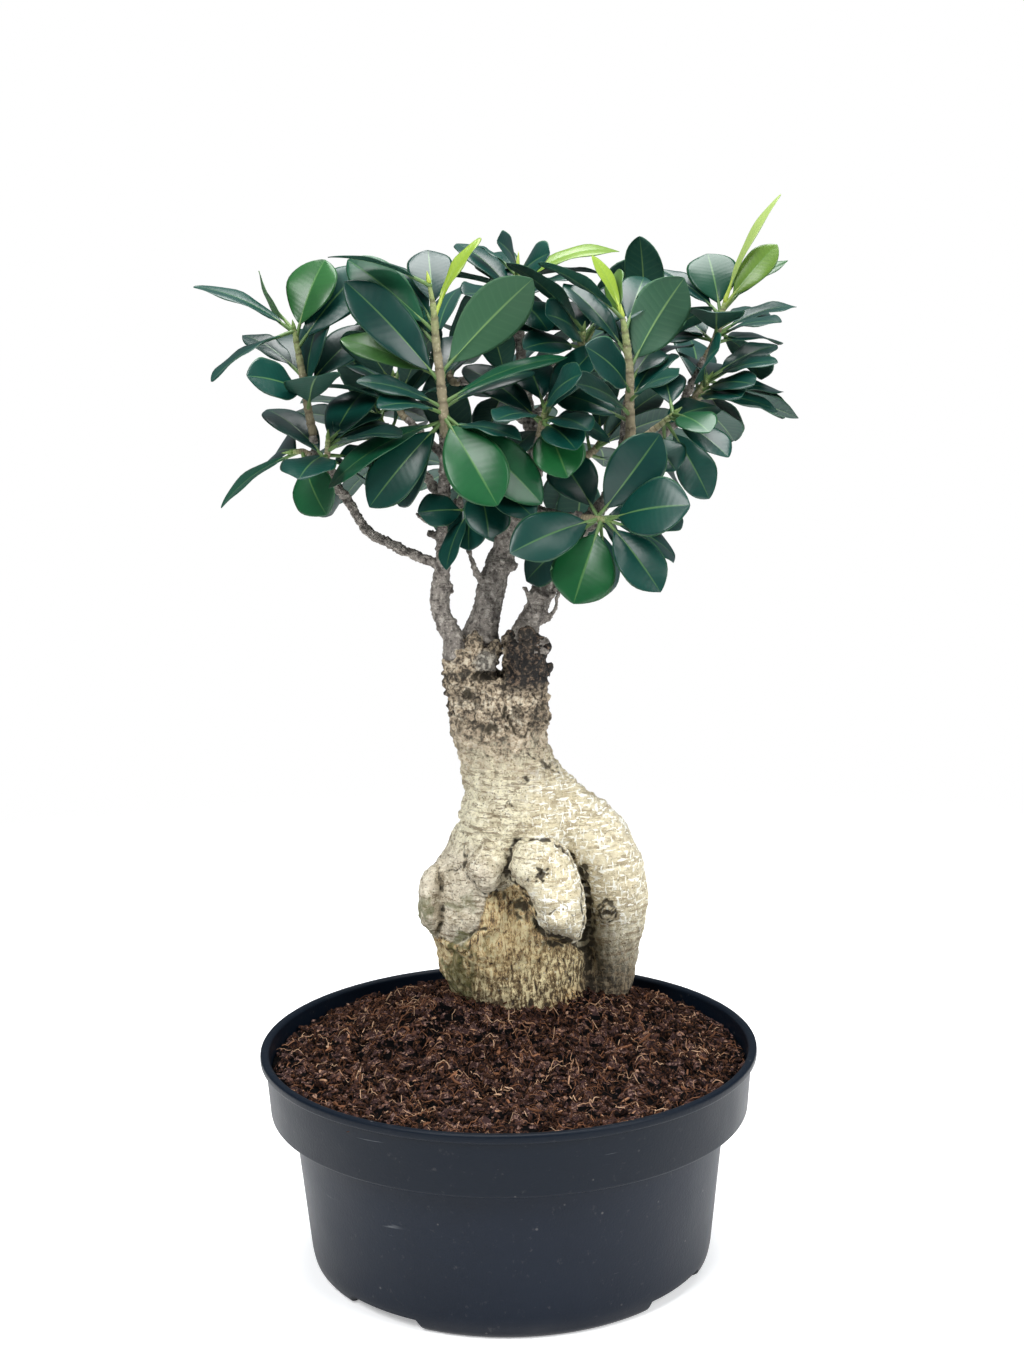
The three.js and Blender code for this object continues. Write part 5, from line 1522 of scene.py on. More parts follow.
def addPetiole(heap, leaf, rng):
    foot = leafShape["petiole"] / leaf.length
    shares = np.linspace(-0.02, foot * 1.9, 8)
    radius = leafShape["petioleWidth"] / 2
    path = []
    radii = []
    for share in shares:
        t = max(share, 0) / foot
        lift = leaf.arch(share) - 0.35 * min(t, 1)
        path.append(leaf.base + leaf.along * leaf.length * share + leaf.out * lift)
        radii.append(radius * (1.25 - 0.3 * min(t, 1)) * (1 if t < 1 else 1.75 - 0.75 * t + 0.02))
    points, faces = tubeShape(path, radii, 8)
    tone = (leaf.youth, rng.random(), rng.random())
    heap.add(points, faces, [2] * len(faces), [(0, 0, 0)] * len(points), tone)


# A shoot's stem with the rings that old leaves left, and a pointed bud at its end.
def addStem(heap, points, radii, growing, rng):
    sunk = points[0] - unit(points[1] - points[0]) * 2.2
    rows = smoothRows([(*point, radius) for point, radius in zip([sunk] + points[1:], radii)], 1.1)
    scars = rng.uniform(0, anyTurn)
    path = rows[:, :3]
    size = rows[:, 3].copy()
    away = np.concatenate([[0], np.cumsum(np.linalg.norm(np.diff(path, axis=0), axis=1))])
    size *= 1 + 0.10 * np.sin(away * 2 * math.pi / leafShape["scarSpacing"] + scars) ** 4
    size[-1] *= 0.8

    def wobble(i, turn):
        return 0.05 * math.sin(2 * turn + away[i] * 0.8) + 0.04 * math.sin(3 * turn - away[i] * 1.7)

    skin, faces = tubeShape(path, size, 12, wobble)
    places = [(share, 0, 0) for share in np.repeat(away / away[-1], 12)]
    heap.add(skin, faces, [3] * len(faces), places, (0.3, rng.random(), 0.5))
    bud = unit(path[-1] - path[-2])
    tall = rng.uniform(*leafShape["budLength"]) * (1 if growing else leafShape["restingBud"])
    budPath = [path[-1] + bud * far for far in (-0.5, 0.6, 0.25 * tall, 0.55 * tall, 0.85 * tall, tall)]
    budRadii = [wide * 1.05 for wide in (0.9, 1.1, 1.0, 0.7, 0.3, 0.08)]
    skin, faces = tubeShape(budPath, budRadii, 8)
    tone = (0.95 if growing else 0.45, rng.random(), 0.5)
    heap.add(skin, faces, [2] * len(faces), [(0, 0, 0)] * len(skin), tone)


# Gathers a shoot's shapes. The tags say where a point lies on its blade, the tones how young it is.
class LeafHeap(Gather):
    def __init__(self):
        super().__init__()
        self.tones = []

    def add(self, points, faces, finish, places, tone):
        super().add(points, faces, finish, places)
        self.tones.extend([tone] * len(points))


def leafFinish(name, under):
    f = Finish(name)
    blade = f.attribute("blade", 1)
    part = f.split(blade, 0)
    side = f.split(blade, 1)
    tone = f.attribute("tone", 1)
    youth = f.split(tone, 0)
    shade = f.split(tone, 1)
    off = f.maths("ABSOLUTE", side)
    place = f.place()
    mottle = f.noise(place, 55, 3)
    ribs = f.maths("SINE", (part * 13.5 - off * 1.5 + mottle * 0.25) * 6.2832) * 0.5 + 0.5
    veins = ribs ** 9 * (1 - f.smooth(off, 0.75, 0.98)) * f.smooth(off, 0.0, 0.12)
    midrib = 1 - f.smooth(off, 0.012, 0.055)
    margin = f.smooth(off, 0.93, 0.985)
    if under:
        mature = f.mix(mottle, (0.0070, 0.052, 0.037), (0.014, 0.084, 0.054))
        fresh = (0.050, 0.135, 0.040)
        young = f.mix(mottle, (0.22, 0.33, 0.030), (0.33, 0.44, 0.050))
        vein, paleVein = (0.045, 0.125, 0.055), (0.20, 0.34, 0.11)
    else:
        mature = f.mix(mottle, (0.0008, 0.0275, 0.0235), (0.0040, 0.0590, 0.0400))
        fresh = f.mix(mottle, (0.0035, 0.0560, 0.0145), (0.0110, 0.1150, 0.0250))
        young = f.mix(mottle, (0.15, 0.25, 0.016), (0.26, 0.36, 0.040))
        vein, paleVein = (0.007, 0.044, 0.022), (0.115, 0.240, 0.070)
    mature = f.mix(shade * 0.5, mature, (0.0006, 0.0110, 0.0120))
    body = f.mix(f.smooth(youth, 0.13, 0.32) * 0.9, mature, fresh)
    body = f.mix(f.smooth(youth, 0.28, 1.0), body, young)
    body = f.mix(f.smooth(youth, 1.0, 1.4), body, (0.62, 0.70, 0.50))
    body = f.mix(veins * (0.22 if under else 0.12), body, vein)
    body = f.mix(midrib * (0.8 if under else 0.7) * (1 - part * 0.6), body, paleVein)
    body = f.mix(margin * 0.6, body, (0.070, 0.180, 0.080))
    height = ribs * (-0.10 if under else 0.06) + mottle * 1.0
    relief = f.bump(height, 0.3, 0.0008)
    rough = (0.50 if under else 0.26) + mottle * 0.14
    return f.surface(Base_Color=body, Roughness=rough, Normal=relief, Specular_IOR_Level=0.36)


def petioleFinish():
    f = Finish("petiole")
    place = f.place()
    youth = f.split(f.attribute("tone", 1), 0)
    grain = f.noise(place, 500, 3, 0.6)
    green = f.mix(grain, (0.070, 0.140, 0.036), (0.125, 0.215, 0.062))
    fresh = f.mix(grain, (0.28, 0.38, 0.040), (0.44, 0.52, 0.080))
    return f.surface(
        Base_Color=f.mix(f.smooth(youth, 0.3, 1.0), green, fresh),
        Roughness=0.42 + grain * 0.2,
        Normal=f.bump(grain, 0.3, 0.0004),
    )


def stemFinish():
    f = Finish("stemSkin")
    place = f.place()
    along = f.split(f.attribute("blade", 1), 0)
    grain = f.noise(place, 420, 5, 0.7)
    spots = f.cells(place, 520)
    tan = f.mix(grain, (0.15, 0.125, 0.075), (0.34, 0.29, 0.18))
    green = f.mix(grain, (0.16, 0.22, 0.07), (0.30, 0.36, 0.13))
    scars = (f.maths("SINE", along * 58 + grain * 2.4) * 0.5 + 0.5) ** 7
    body = f.mix(f.smooth(along, 0.45, 1.0), tan, green)
    body = f.mix(scars * 0.55, body, (0.085, 0.062, 0.036))
    body = f.mix((1 - f.smooth(spots, 0.12, 0.3)) * 0.45, body, (0.46, 0.41, 0.30))
    relief = f.bump(grain + spots - scars * 0.6, 0.7, 0.0006)
    return f.surface(Base_Color=body, Roughness=0.68 + grain * 0.15, Normal=relief)


def shootPiece(name, stem, leaves, finishes):
    rng = np.random.default_rng(sum(map(ord, name)))
    heap = LeafHeap()
    points, radii = stem
    addStem(heap, points, radii, max(leaf.youth for leaf in leaves) > 0.5, rng)
    for leaf in leaves:
        addPetiole(heap, leaf, rng)
        addBlade(heap, leaf, rng)
    made = makePiece("leafy_" + name, heap.points, heap.faces, finishes, heap.finish)
    setAttribute(made.data, "blade", heap.tags)
    setAttribute(made.data, "tone", heap.tones)
    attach(made, "root")
    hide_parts(name)
    return made


stems, leaves = growLeaves()
settle(leaves, stems)
openLeaves(leaves)
print("leaves settled:", len(leaves))
leaves = fillCrown(leaves, stems)
print("leaves in all:", len(leaves))
shootFinishes = [leafFinish("leafTop", False), leafFinish("leafUnder", True), petioleFinish(), stemFinish()]
for name in shoots:
    shootPiece(name, stems[name], [leaf for leaf in leaves if leaf.shoot == name], shootFinishes)
print("shoots made")


# Wood that has grown together: its limbs become one skin, which is then worked point by point.
def grownTogether(name, shapes, voxel, finish, rounds):
    heap = Gather()
    for points, faces in shapes:
        heap.add(points, faces)
    made = makePiece(name, heap.points, heap.faces, [finish])
    change = made.modifiers.new("skin", "REMESH")
    change.mode = "VOXEL"
    change.voxel_size = voxel * mm
    change.adaptivity = 0
    change = made.modifiers.new("ease", "SMOOTH")
    change.factor = 0.5
    change.iterations = rounds
    bakeModifiers(made)
    smoothFaces(made.data)
    return made


def pointsOf(mesh):
    points = np.empty(len(mesh.vertices) * 3, dtype=np.float32)
    normals = np.empty(len(mesh.vertices) * 3, dtype=np.float32)
    mesh.vertices.foreach_get("co", points)
    mesh.vertex_normals.foreach_get("vector", normals)
    return points.reshape(-1, 3).astype(float) / mm, normals.reshape(-1, 3).astype(float)


def movePoints(mesh, points):
    mesh.vertices.foreach_set("co", (points * mm).astype(np.float32).ravel())
    mesh.update()


# Smooth noise at points, its grain finer as the scale rises.
def grainAt(points, scale, seed=0.0):
    scale = np.broadcast_to(scale, 3)
    return np.array([noise.noise(Vector(point * scale) + Vector((seed, 0, seed))) for point in points])


# A web of root behind the gap between the front root and the right one, too small for the solids.
rootWeb = [
    (36, 190, 60, 5, 8), (38, 170, 62, 6, 11), (39, 145, 63, 6, 12), (40, 118, 63, 6, 12),
]


# A closed line, as round a knot.
def ringAround(x, z, radius):
    turns = [k * math.pi / 6 for k in range(13)]
    return [(x + radius * math.cos(turn) * 0.85, z + radius * math.sin(turn)) for turn in turns]


# Lines in the root's front, by x and z as seen: their points, width, depth and darkness; the darkness is
# painted shade down the creases, with some real cracks and knot rings.
rootLines = [
    ([(4, 203.4), (12, 205), (19, 204), (26, 200.5), (31.5, 195), (35.4, 188), (38, 178)], 1.0, 2.0, 1.0),
    ([(38, 178), (39, 168), (38.6, 158), (36, 150)], 1.4, 1.8, 1.0),
    ([(4.6, 203), (2.4, 197), (0.8, 190), (1.6, 184), (7, 179), (11, 172), (14, 163), (17, 158.5)],
     1.0, 2.2, 1.1),
    ([(15, 158.8), (22, 156.4), (29, 154), (36, 150.5)], 1.6, 1.4, 1.0),
    ([(-18.5, 199), (-20, 191), (-17.5, 184), (-13, 180), (-10, 177), (-5, 177), (-1.5, 182), (0.4, 188)],
     0.7, 1.3, 0.75),
    ([(-21, 208), (-19.6, 200), (-20.6, 193), (-24, 189.4), (-29, 189.6)], 0.6, 0.9, 0.65),
    ([(-31.6, 192), (-31.2, 184), (-30.6, 175), (-31.2, 166), (-32.4, 159)], 0.9, 1.8, 0.6),
    ([(-33, 157), (-28, 154.6), (-23, 153.6), (-19, 156), (-15, 159.6), (-10, 160)], 0.9, 1.3, 0.7),
    ([(-30, 166), (-25, 168), (-21, 166), (-18, 161)], 0.6, 0.8, 0.4),
    ([(38, 190), (37.2, 180), (37, 168), (37.6, 156), (38.4, 145), (39.8, 133), (41, 118)], 2.2, 1.0, 1.0),
    ([(-24, 279.4), (-14, 279.8), (-4, 279.2)], 0.5, 0.9, 0.45),
    ([(-22, 277.6), (-12.6, 277.8), (-12.8, 270), (-13.6, 262)], 0.45, 0.6, 0.6),
    ([(-5, 279), (-5.4, 272), (-4.6, 264)], 0.45, 0.8, 0.5),
    ([(-0.6, 299), (-0.4, 286), (0.8, 279), (1.2, 270), (0.2, 262), (2.4, 256)], 0.8, 1.5, 0.85),
    ([(2, 278.4), (8, 277.6), (14, 275), (16.2, 268), (15.6, 261), (12.6, 254)], 0.5, 0.7, 0.5),
    ([(2.6, 272), (5, 274), (9, 273.4), (13, 270), (14.4, 264), (13, 258)], 0.5, 0.8, 0.55),
    ([(13, 258), (10, 253.4), (7, 254.4), (4, 259), (2.6, 265)], 0.6, 1.2, 0.9),
    ([(5.4, 268.6), (9, 269), (11, 265), (10.4, 259), (8, 257)], 0.5, 0.9, 0.7),
    ([(18.4, 270), (19.4, 264), (19.8, 258)], 0.6, 0.9, 0.7),
    ([(-21, 240), (-16, 241.4), (-10, 242.6), (-2, 246), (6, 250.4)], 0.4, 0.6, 0.5),
    ([(-20, 229.6), (-12, 229), (-4, 230.4)], 0.4, 0.5, 0.4),
    ([(13, 222), (17, 227), (20, 229.4)], 0.35, 0.5, 0.5),
    ([(11, 246), (15, 243), (20, 240), (26, 237), (31, 234)], 0.9, 0.6, 0.65),
    ([(22, 246), (26, 241), (33, 235), (37, 229)], 0.8, 0.6, 0.5),
    ([(11.4, 195), (14, 197.2), (18, 197), (21.4, 194.4)], 0.6, 1.1, 0.5),
    ([(14.4, 185), (17, 187.4), (19.8, 189)], 0.8, 1.6, 1.0),
    ([(15, 189.6), (17, 187), (18.4, 183.4)], 0.8, 1.6, 1.0), ([(20.4, 186), (17, 187)], 0.7, 1.4, 0.9),
    ([(13.6, 187), (11.6, 184.4), (12.4, 181)], 0.5, 0.7, 0.6),
    ([(21, 168.6), (23.4, 170.6), (27.6, 170.4), (30, 167.4)], 0.5, 0.9, 0.6),
    ([(21.4, 164), (24.6, 161.4), (29, 162)], 0.5, 0.9, 0.7),
    ([(28, 176), (31, 172), (32, 166)], 0.5, 0.7, 0.4),
    ([(-14, 193), (-10, 194.6), (-5, 192.6)], 0.4, 0.4, 0.3),
    ([(-15, 186.4), (-10, 185), (-5, 186.4)], 0.4, 0.4, 0.3),
    (ringAround(48.6, 167.5, 5.6), 0.8, 1.0, 0.7),
    (ringAround(48.6, 167.5, 3.4), 0.7, 0.9, 0.85),
    (ringAround(-9.5, 190, 6.2), 0.45, 0.5, 0.4),
    (ringAround(-9.5, 190, 3.2), 0.45, 0.4, 0.35),
    (ringAround(10, 233, 1.8), 0.6, 0.5, 0.6),
    (ringAround(2.7, 221, 2.4), 0.6, 0.6, 0.55),
]
# A spot is its middle, two radii, depth and darkness. A depth below 0 stands out. The darkness paints shade
# into hollows and under knobs, with a few real dark patches; below 0 it lightens.
rootSpots = [
    (15, 184.6, 1.0, 2.0, 0.8, 0.6), (29, 186, 0.8, 1.6, 0.7, 0.7), (7, 170, 5.6, 9.0, 3.0, 0.85),
    (-3, 176.4, 7.0, 2.2, 1.2, 0.75), (-17.4, 273.4, 4.2, 4.4, 0.8, 0.75),
    (-20.5, 261, 2.4, 7.0, -0.4, 0.55), (-8, 258.6, 5.0, 2.4, 0.5, 0.6), (-7.6, 290, 5.6, 5.6, -0.6, -0.9),
    (-9, 283.4, 8.0, 2.6, 2.6, 1.5), (8.2, 263, 2.4, 4.6, 1.0, 0.6), (25.4, 165.6, 3.8, 3.6, -2.2, -0.1),
    (48.6, 167.5, 4.6, 5.0, -1.6, 0.1), (48.6, 167.5, 1.8, 2.0, 2.2, 1.4), (20, 241, 4.4, 3.4, 0.4, 0.62),
    (33, 236, 2.0, 1.3, -1.0, 0.9), (26, 239, 1.8, 1.2, -0.9, 0.9), (9.6, 233.6, 1.4, 1.1, 1.2, 1.6),
    (3, 221, 1.2, 1.0, 0.5, 0.8), (-17.6, 274.4, 3.4, 3.2, 0.9, 1.3), (-6.3, 257.6, 4.6, 3.0, 0.6, 1.0),
    (8, 266, 5.0, 4.0, 0.5, 0.5), (-22.4, 218, 2.0, 3.6, -1.4, 0.9), (-14, 284, 1.2, 1.2, -0.8, -0.2),
    (26, 152, 9.0, 2.6, 1.0, 0.8), (40, 160, 3.4, 22, 0.6, 0.75),
]


# Forms that stand out or lie back: outline, height and how soft the edge is.
rootForms = [
    ([(5, 204), (12, 205), (19, 204), (26, 200.5), (31.5, 195), (35.4, 188), (38, 178), (39, 168), (38, 158),
      (33, 153), (24, 156), (17, 158.5), (14, 163), (11, 172), (7, 179), (1.6, 184), (0.8, 190), (2.4, 197)],
     4.2, 4.5),
    ([(-18.5, 199), (-20, 191), (-17.5, 184), (-13, 180), (-10, 177), (-5, 177), (-1.5, 182), (0.4, 188),
      (1, 197), (-4, 205), (-12, 205)], 2.2, 4.5),
    ([(-31.6, 192), (-31.2, 184), (-30.6, 175), (-31.2, 166), (-32.4, 159), (-42, 160), (-44, 180),
      (-38, 194)], 1.8, 4),
    ([(-33, 157), (-28, 154.6), (-23, 153.6), (-19, 156), (-15, 159.6), (-10, 166), (-20, 171), (-31, 169)],
     2.0, 3),
    ([(-10, 176), (-3, 178), (2, 182), (7, 178), (11, 171), (14, 162), (20, 156), (34, 152), (30, 140),
      (-10, 148), (-18, 157), (-9, 163)], -2.4, 6),
]
# Where the front root is bare, brown and ribbed.
footOutline = [
    (-60, 156), (-32, 156), (-22, 152), (-15, 158), (-11, 168), (-9, 177), (-1, 179), (4, 182), (9, 176),
    (13, 163), (18, 157), (36, 150), (44, 150), (44, 60), (-60, 60),
]
# Knobs on the grafts: x, z, depth and radius.
rootKnobs = [
    (-7.6, 290, 39, 6), (-24.4, 294, 50, 3.4), (-25.2, 286, 50, 2.6), (-20, 299.5, 44, 4),
    (-13, 300, 40, 4.5), (-16, 292, 38.5, 3.6), (-3.2, 297, 46, 3.2), (-21, 281, 41, 2.8),
    (3.6, 300.5, 46, 3.6), (2.6, 293, 44, 3), (19, 296.5, 48, 3), (19.8, 286, 48, 2.6),
    (12, 302, 41, 4.2), (6, 285, 40, 3.2), (14, 287, 39, 3.4), (9, 295, 38.5, 3.2),
    (16.4, 299.5, 43, 3.2), (17.6, 276, 44, 2.6), (-24.6, 270, 47, 2.4),
]


def knobShape(x, z, depth, radius):
    points, faces = ballShape()
    return [sight(x, z, depth) + point * radius * reach(depth) for point in points], faces


# What the lines, spots and forms add to the height, and how dark they are: painted shade in creases and
# hollows, with some real dark spots.
def marks(x, z, front, wander, broken):
    level = np.zeros(len(x))
    dark = np.zeros(len(x))
    for points, width, depth, shade in rootLines:
        share = np.exp(-((offLine(x + wander, z + wander, points) / width) ** 2)) * front
        level -= share * depth
        dark = np.maximum(dark, np.minimum(share * 1.25, 1) * shade * broken)
    for cx, cz, rx, rz, depth, shade in rootSpots:
        away = np.hypot((x + wander - cx) / rx, (z - wander - cz) / rz)
        share = np.exp(-(away ** 3)) * front
        level -= share * depth
        shade = shade * (broken if shade > 0 else 1)
        dark = np.where(shade < 0, dark * (1 + share * shade), np.maximum(dark, share * shade))
    for outline, height, soft in rootForms:
        within = np.maximum(insideBy(x + wander, z + wander, outline), 0)
        level += height * (1 - np.exp(-((within / soft) ** 2))) * front
    return level, dark


# A limb of the root: an oval tube through rows that are read from the front.
def swellingShape(rows):
    sides = wood["swellingSides"]
    table = smoothRows(rows, 3)
    points = sightPath(table)
    skin = []
    for i, (_, _, y, width, depth) in enumerate(table):
        along = tangentAt(points, i)
        across = unit(np.cross((0.0, 1.0, 0.0), along))
        up = np.cross(along, across)
        for k in range(sides):
            turn = 2 * math.pi * k / sides
            out = across * width * math.cos(turn) + up * depth * math.sin(turn)
            skin.append(points[i] + out * reach(y))
    return skin, skinFaces(len(table), sides)


def rootPiece(finish):
    shapes = [swellingShape(rows) for rows in rootLimbs]
    shapes.append(swellingShape(rootWeb))
    shapes += [knobShape(*knob) for knob in rootKnobs]
    made = grownTogether("root_skin", shapes, wood["rootVoxel"], finish, 3)
    points, normals = pointsOf(made.data)
    seen = readings(points)
    x, z = seen[:, 0], seen[:, 2]
    deepest = wood["footDepth"] + 20 * (x > wood["rightRootFrom"])
    front = np.clip(0.32 - normals[:, 1] * 1.7, 0, 1) * (points[:, 1] < deepest)
    lumps = grainAt(points, 0.055) * 1.6 + grainAt(points, 0.13, 3) * 0.9
    # Wrinkles round the neck, ribs down the foot and scales on the stump.
    fine = grainAt(points, (0.3, 0.3, 0.5), 7) * 0.5 + grainAt(points, 0.75, 9) * 0.22
    neck = np.clip((z - wood["neckFrom"]) / 20, 0, 1) * np.clip((wood["neckTo"] - z) / 8, 0, 1)
    wander = grainAt(points, (0.05, 0.05, 0.02), 11) * 9
    rings = np.sin((z + wander) * 2 * math.pi / 5.2) * 0.36 + np.sin((z - wander) * 2 * math.pi / 3.1) * 0.2
    ribZone = np.clip((wood["ribsBelow"] - z) / 12, 0, 1)
    sway = grainAt(points, (0.03, 0.03, 0.012), 17) * 8
    ribs = np.sin((x + sway) * 2 * math.pi / 5.2) * 0.25 + grainAt(points, (0.42, 0.42, 0.14), 23) * 0.8
    crust = np.clip((z - wood["crustFrom"]) / 10, 0, 1)
    scales = np.abs(grainAt(points, (0.33, 0.33, 0.24), 29)) * 2.6 + grainAt(points, 0.6, 37) * 0.9
    ribZone *= np.clip((z - 92) / 16, 0.2, 1)
    level = lumps + fine + rings * neck + ribs * ribZone + scales * crust
    broken = np.clip(0.75 + grainAt(points, 0.4, 41) * 1.3, 0.25, 1)
    carved, dark = marks(x, z, front, grainAt(points, 0.3, 31) * 1.1, broken)
    # Growth rings in the sawn wound.
    wound = np.hypot((x - 8) / 0.72, z - 264)
    carved += np.sin(wound * 2 * math.pi / 2.9) * 0.45 * np.clip((11 - wound) / 3, 0, 1) * front
    points += normals * (level + carved)[:, None]
    movePoints(made.data, points)
    # Where the foot is bare of bark, and the pale ball of callus.
    ahead = np.clip(0.9 - normals[:, 1] * 1.6, 0, 1)
    foot = np.clip(0.5 + insideBy(x, z, footOutline) / 5, 0, 1) * (x < 43) * ahead
    foot += np.clip((118 - points[:, 2]) / 12, 0, 0.8) * (1 - ahead)
    ball = np.exp(-(np.hypot(x + 7.6, z - 290) / 5.6) ** 6) * front
    setAttribute(made.data, "marks", np.stack([dark, foot, ball], axis=1))
    return made


def rootFinish():
    f = Finish("rootBark")
    place = f.place()
    x, z = f.split(place, 0), f.split(place, 2)
    marked = f.attribute("marks", 1)
    dark, foot, ball = f.split(marked, 0), f.split(marked, 1), f.split(marked, 2)
    # Grains of several sizes, most of them drawn out across or along the root.
    patches = f.noise(place, 26, 4, 0.6)
    blotch = f.noise(place, 85, 5, 0.7, 0.4)
    fine = f.noise(place, 420, 5, 0.75)
    pores = f.cells(place, 560)
    speck = f.cells(place, 270)
    rings = f.noise(f.stretched(place, (75, 75, 460)), 1.0, 5, 0.72, 0.5)
    ribs = f.noise(f.stretched(place, (460, 460, 130)), 1.0, 6, 0.78, 0.7)
    dashes = f.noise(f.stretched(place, (190, 190, 720)), 1.0, 2, 0.5, 0.4)
    scratches = f.noise(f.stretched(place, (720, 300, 190)), 1.0, 2, 0.5, 0.4)
    # Cream bark, pinker on the left, with wrinkles, pores and specks.
    cream = f.mix(patches, (0.67, 0.60, 0.41), (0.93, 0.88, 0.66))
    pink = f.mix(blotch, (0.53, 0.44, 0.34), (0.92, 0.84, 0.67))
    body = f.mix((1 - f.smooth(x, -0.012, 0.006)) * (1 - f.smooth(z, 0.185, 0.200)) * 0.8, cream, pink)
    body = f.mix(f.smooth(blotch, 0.48, 0.58) * 0.42, body, (0.34, 0.265, 0.15))
    body = f.mix(f.smooth(rings, 0.545, 0.58) * 0.75, body, (0.160, 0.108, 0.055))
    threads = f.noise(f.stretched(place, (120, 120, 900)), 1.0, 3, 0.6, 0.7)
    body = f.mix(f.smooth(threads, 0.57, 0.60) * f.smooth(z, 0.186, 0.205) * 0.6, body, (0.20, 0.14, 0.08))
    spots = (1 - f.smooth(pores, 0.16, 0.34)) * f.smooth(blotch, 0.38, 0.54)
    body = f.mix(spots * 0.75, body, (0.12, 0.09, 0.045))
    body = f.mix((1 - f.smooth(speck, 0.05, 0.15)) * 0.75, body, (0.085, 0.06, 0.035))
    body = f.mix(f.smooth(fine, 0.54, 0.62) * 0.6, body, (1.0, 0.96, 0.80))
    body = f.mix((1 - f.smooth(fine, 0.42, 0.47)) * 0.55, body, (0.26, 0.20, 0.115))
    # White scratches and dashes on the root that arches to the right.
    arch = f.smooth(x, 0.004, 0.022) * f.smooth(z, 0.135, 0.160) * (1 - f.smooth(z, 0.222, 0.240))
    body = f.mix(arch * 0.35, body, (0.70, 0.58, 0.36))
    body = f.mix(f.smooth(dashes, 0.585, 0.61) * arch, body, (1.0, 0.98, 0.88))
    body = f.mix(f.smooth(scratches, 0.60, 0.625) * arch, body, (1.0, 0.98, 0.88))
    # Dark crust on the neck, its plates, and the charred stump.
    edge = z + (blotch - 0.5) * 0.020 + (patches - 0.5) * 0.012
    crust = f.ramp(fine * 0.6 + blotch * 0.5, [
        (0.475, (0.012, 0.008, 0.006)), (0.52, (0.110, 0.078, 0.050)), (0.555, (0.350, 0.268, 0.180)),
        (0.595, (0.600, 0.490, 0.350)), (0.64, (0.980, 0.890, 0.700)),
    ])
    streaks = f.noise(f.stretched(place, (330, 330, 60)), 1.0, 4, 0.7, 0.6)
    ragged = edge + (streaks - 0.5) * 0.050
    body = f.mix(f.smooth(ragged, 0.222, 0.252) * 0.92, body, crust)
    body = f.mix(f.smooth(ragged, 0.205, 0.240) * f.smooth(fine, 0.50, 0.58) * 0.5, body, (0.20, 0.145, 0.09))
    plates = f.cells(f.stretched(place, (165, 165, 105)), 1.0, "DISTANCE_TO_EDGE")
    crackle = (1 - f.smooth(plates + (fine - 0.5) * 0.5, 0.01, 0.06)) * f.smooth(edge, 0.246, 0.262)
    body = f.mix(crackle * 0.55, body, (0.022, 0.015, 0.010))
    stump = f.smooth(z + (blotch - 0.5) * 0.012, 0.268, 0.275) * f.smooth(x, 0.0, 0.004)
    charred = f.mix(f.smooth(fine, 0.52, 0.60), (0.005, 0.004, 0.004), (0.150, 0.098, 0.064))
    body = f.mix(stump * 0.95, body, charred)
    callus = f.mix(f.smooth(fine, 0.44, 0.56), (0.13, 0.115, 0.095), (0.40, 0.375, 0.32))
    body = f.mix(ball * 0.85, body, callus)
    # The bare foot: ribbed, rust brown, darker and more orange towards the soil.
    low = 1 - f.smooth(z - x * 0.35 + (blotch - 0.5) * 0.04, 0.105, 0.150)
    bare = f.smooth(foot + (ribs - 0.5) * 0.9 + (blotch - 0.5) * 0.7, 0.35, 0.62)
    rust = f.ramp(ribs * 0.75 + fine * 0.3, [
        (0.42, (0.020, 0.011, 0.005)), (0.46, (0.200, 0.108, 0.043)), (0.51, (0.740, 0.490, 0.200)),
        (0.57, (1.000, 0.860, 0.500)),
    ])
    body = f.mix(bare * 0.9, body, rust)
    flecks = (1 - f.smooth(f.cells(place, 330), 0.10, 0.22)) * f.smooth(blotch, 0.42, 0.56)
    body = f.mix(flecks * bare * 0.8, body, (1.0, 0.93, 0.74))
    furrows = 1 - f.smooth(ribs * 0.6 + fine * 0.4, 0.49, 0.54)
    body = f.mix(low * bare * furrows * 0.85, body, (0.022, 0.015, 0.007))
    glow = f.smooth(x, 0.010, 0.034) * (1 - f.smooth(z, 0.100, 0.128)) * f.smooth(ribs, 0.44, 0.54)
    body = f.mix(glow * 0.6 * bare, body, (0.86, 0.44, 0.10))
    soiled = (1 - f.smooth(z + (blotch - 0.5) * 0.03, 0.104, 0.124)) * f.smooth(fine, 0.44, 0.54)
    body = f.mix(soiled * 0.6, body, (0.040, 0.022, 0.013))
    # The right root's dark foot, moss on the left, and painted shade in every carved line and hollow, among a
    # few real dark spots.
    shade = (1 - f.smooth(edge + x * 0.5, 0.135, 0.192)) * f.smooth(x, 0.036, 0.042)
    grown = f.mix(f.smooth(ribs * 0.7 + rings * 0.3, 0.47, 0.53), (0.030, 0.021, 0.013), (0.31, 0.235, 0.145))
    body = f.mix(shade * 0.9, body, grown)
    moss = f.smooth(f.noise(place, 40, 4, 0.7, 0.8), 0.50, 0.62) * (1 - f.smooth(z, 0.150, 0.205))
    body = f.mix(moss * (1 - f.smooth(x, -0.024, 0.004)) * 0.75, body, (0.100, 0.115, 0.026))
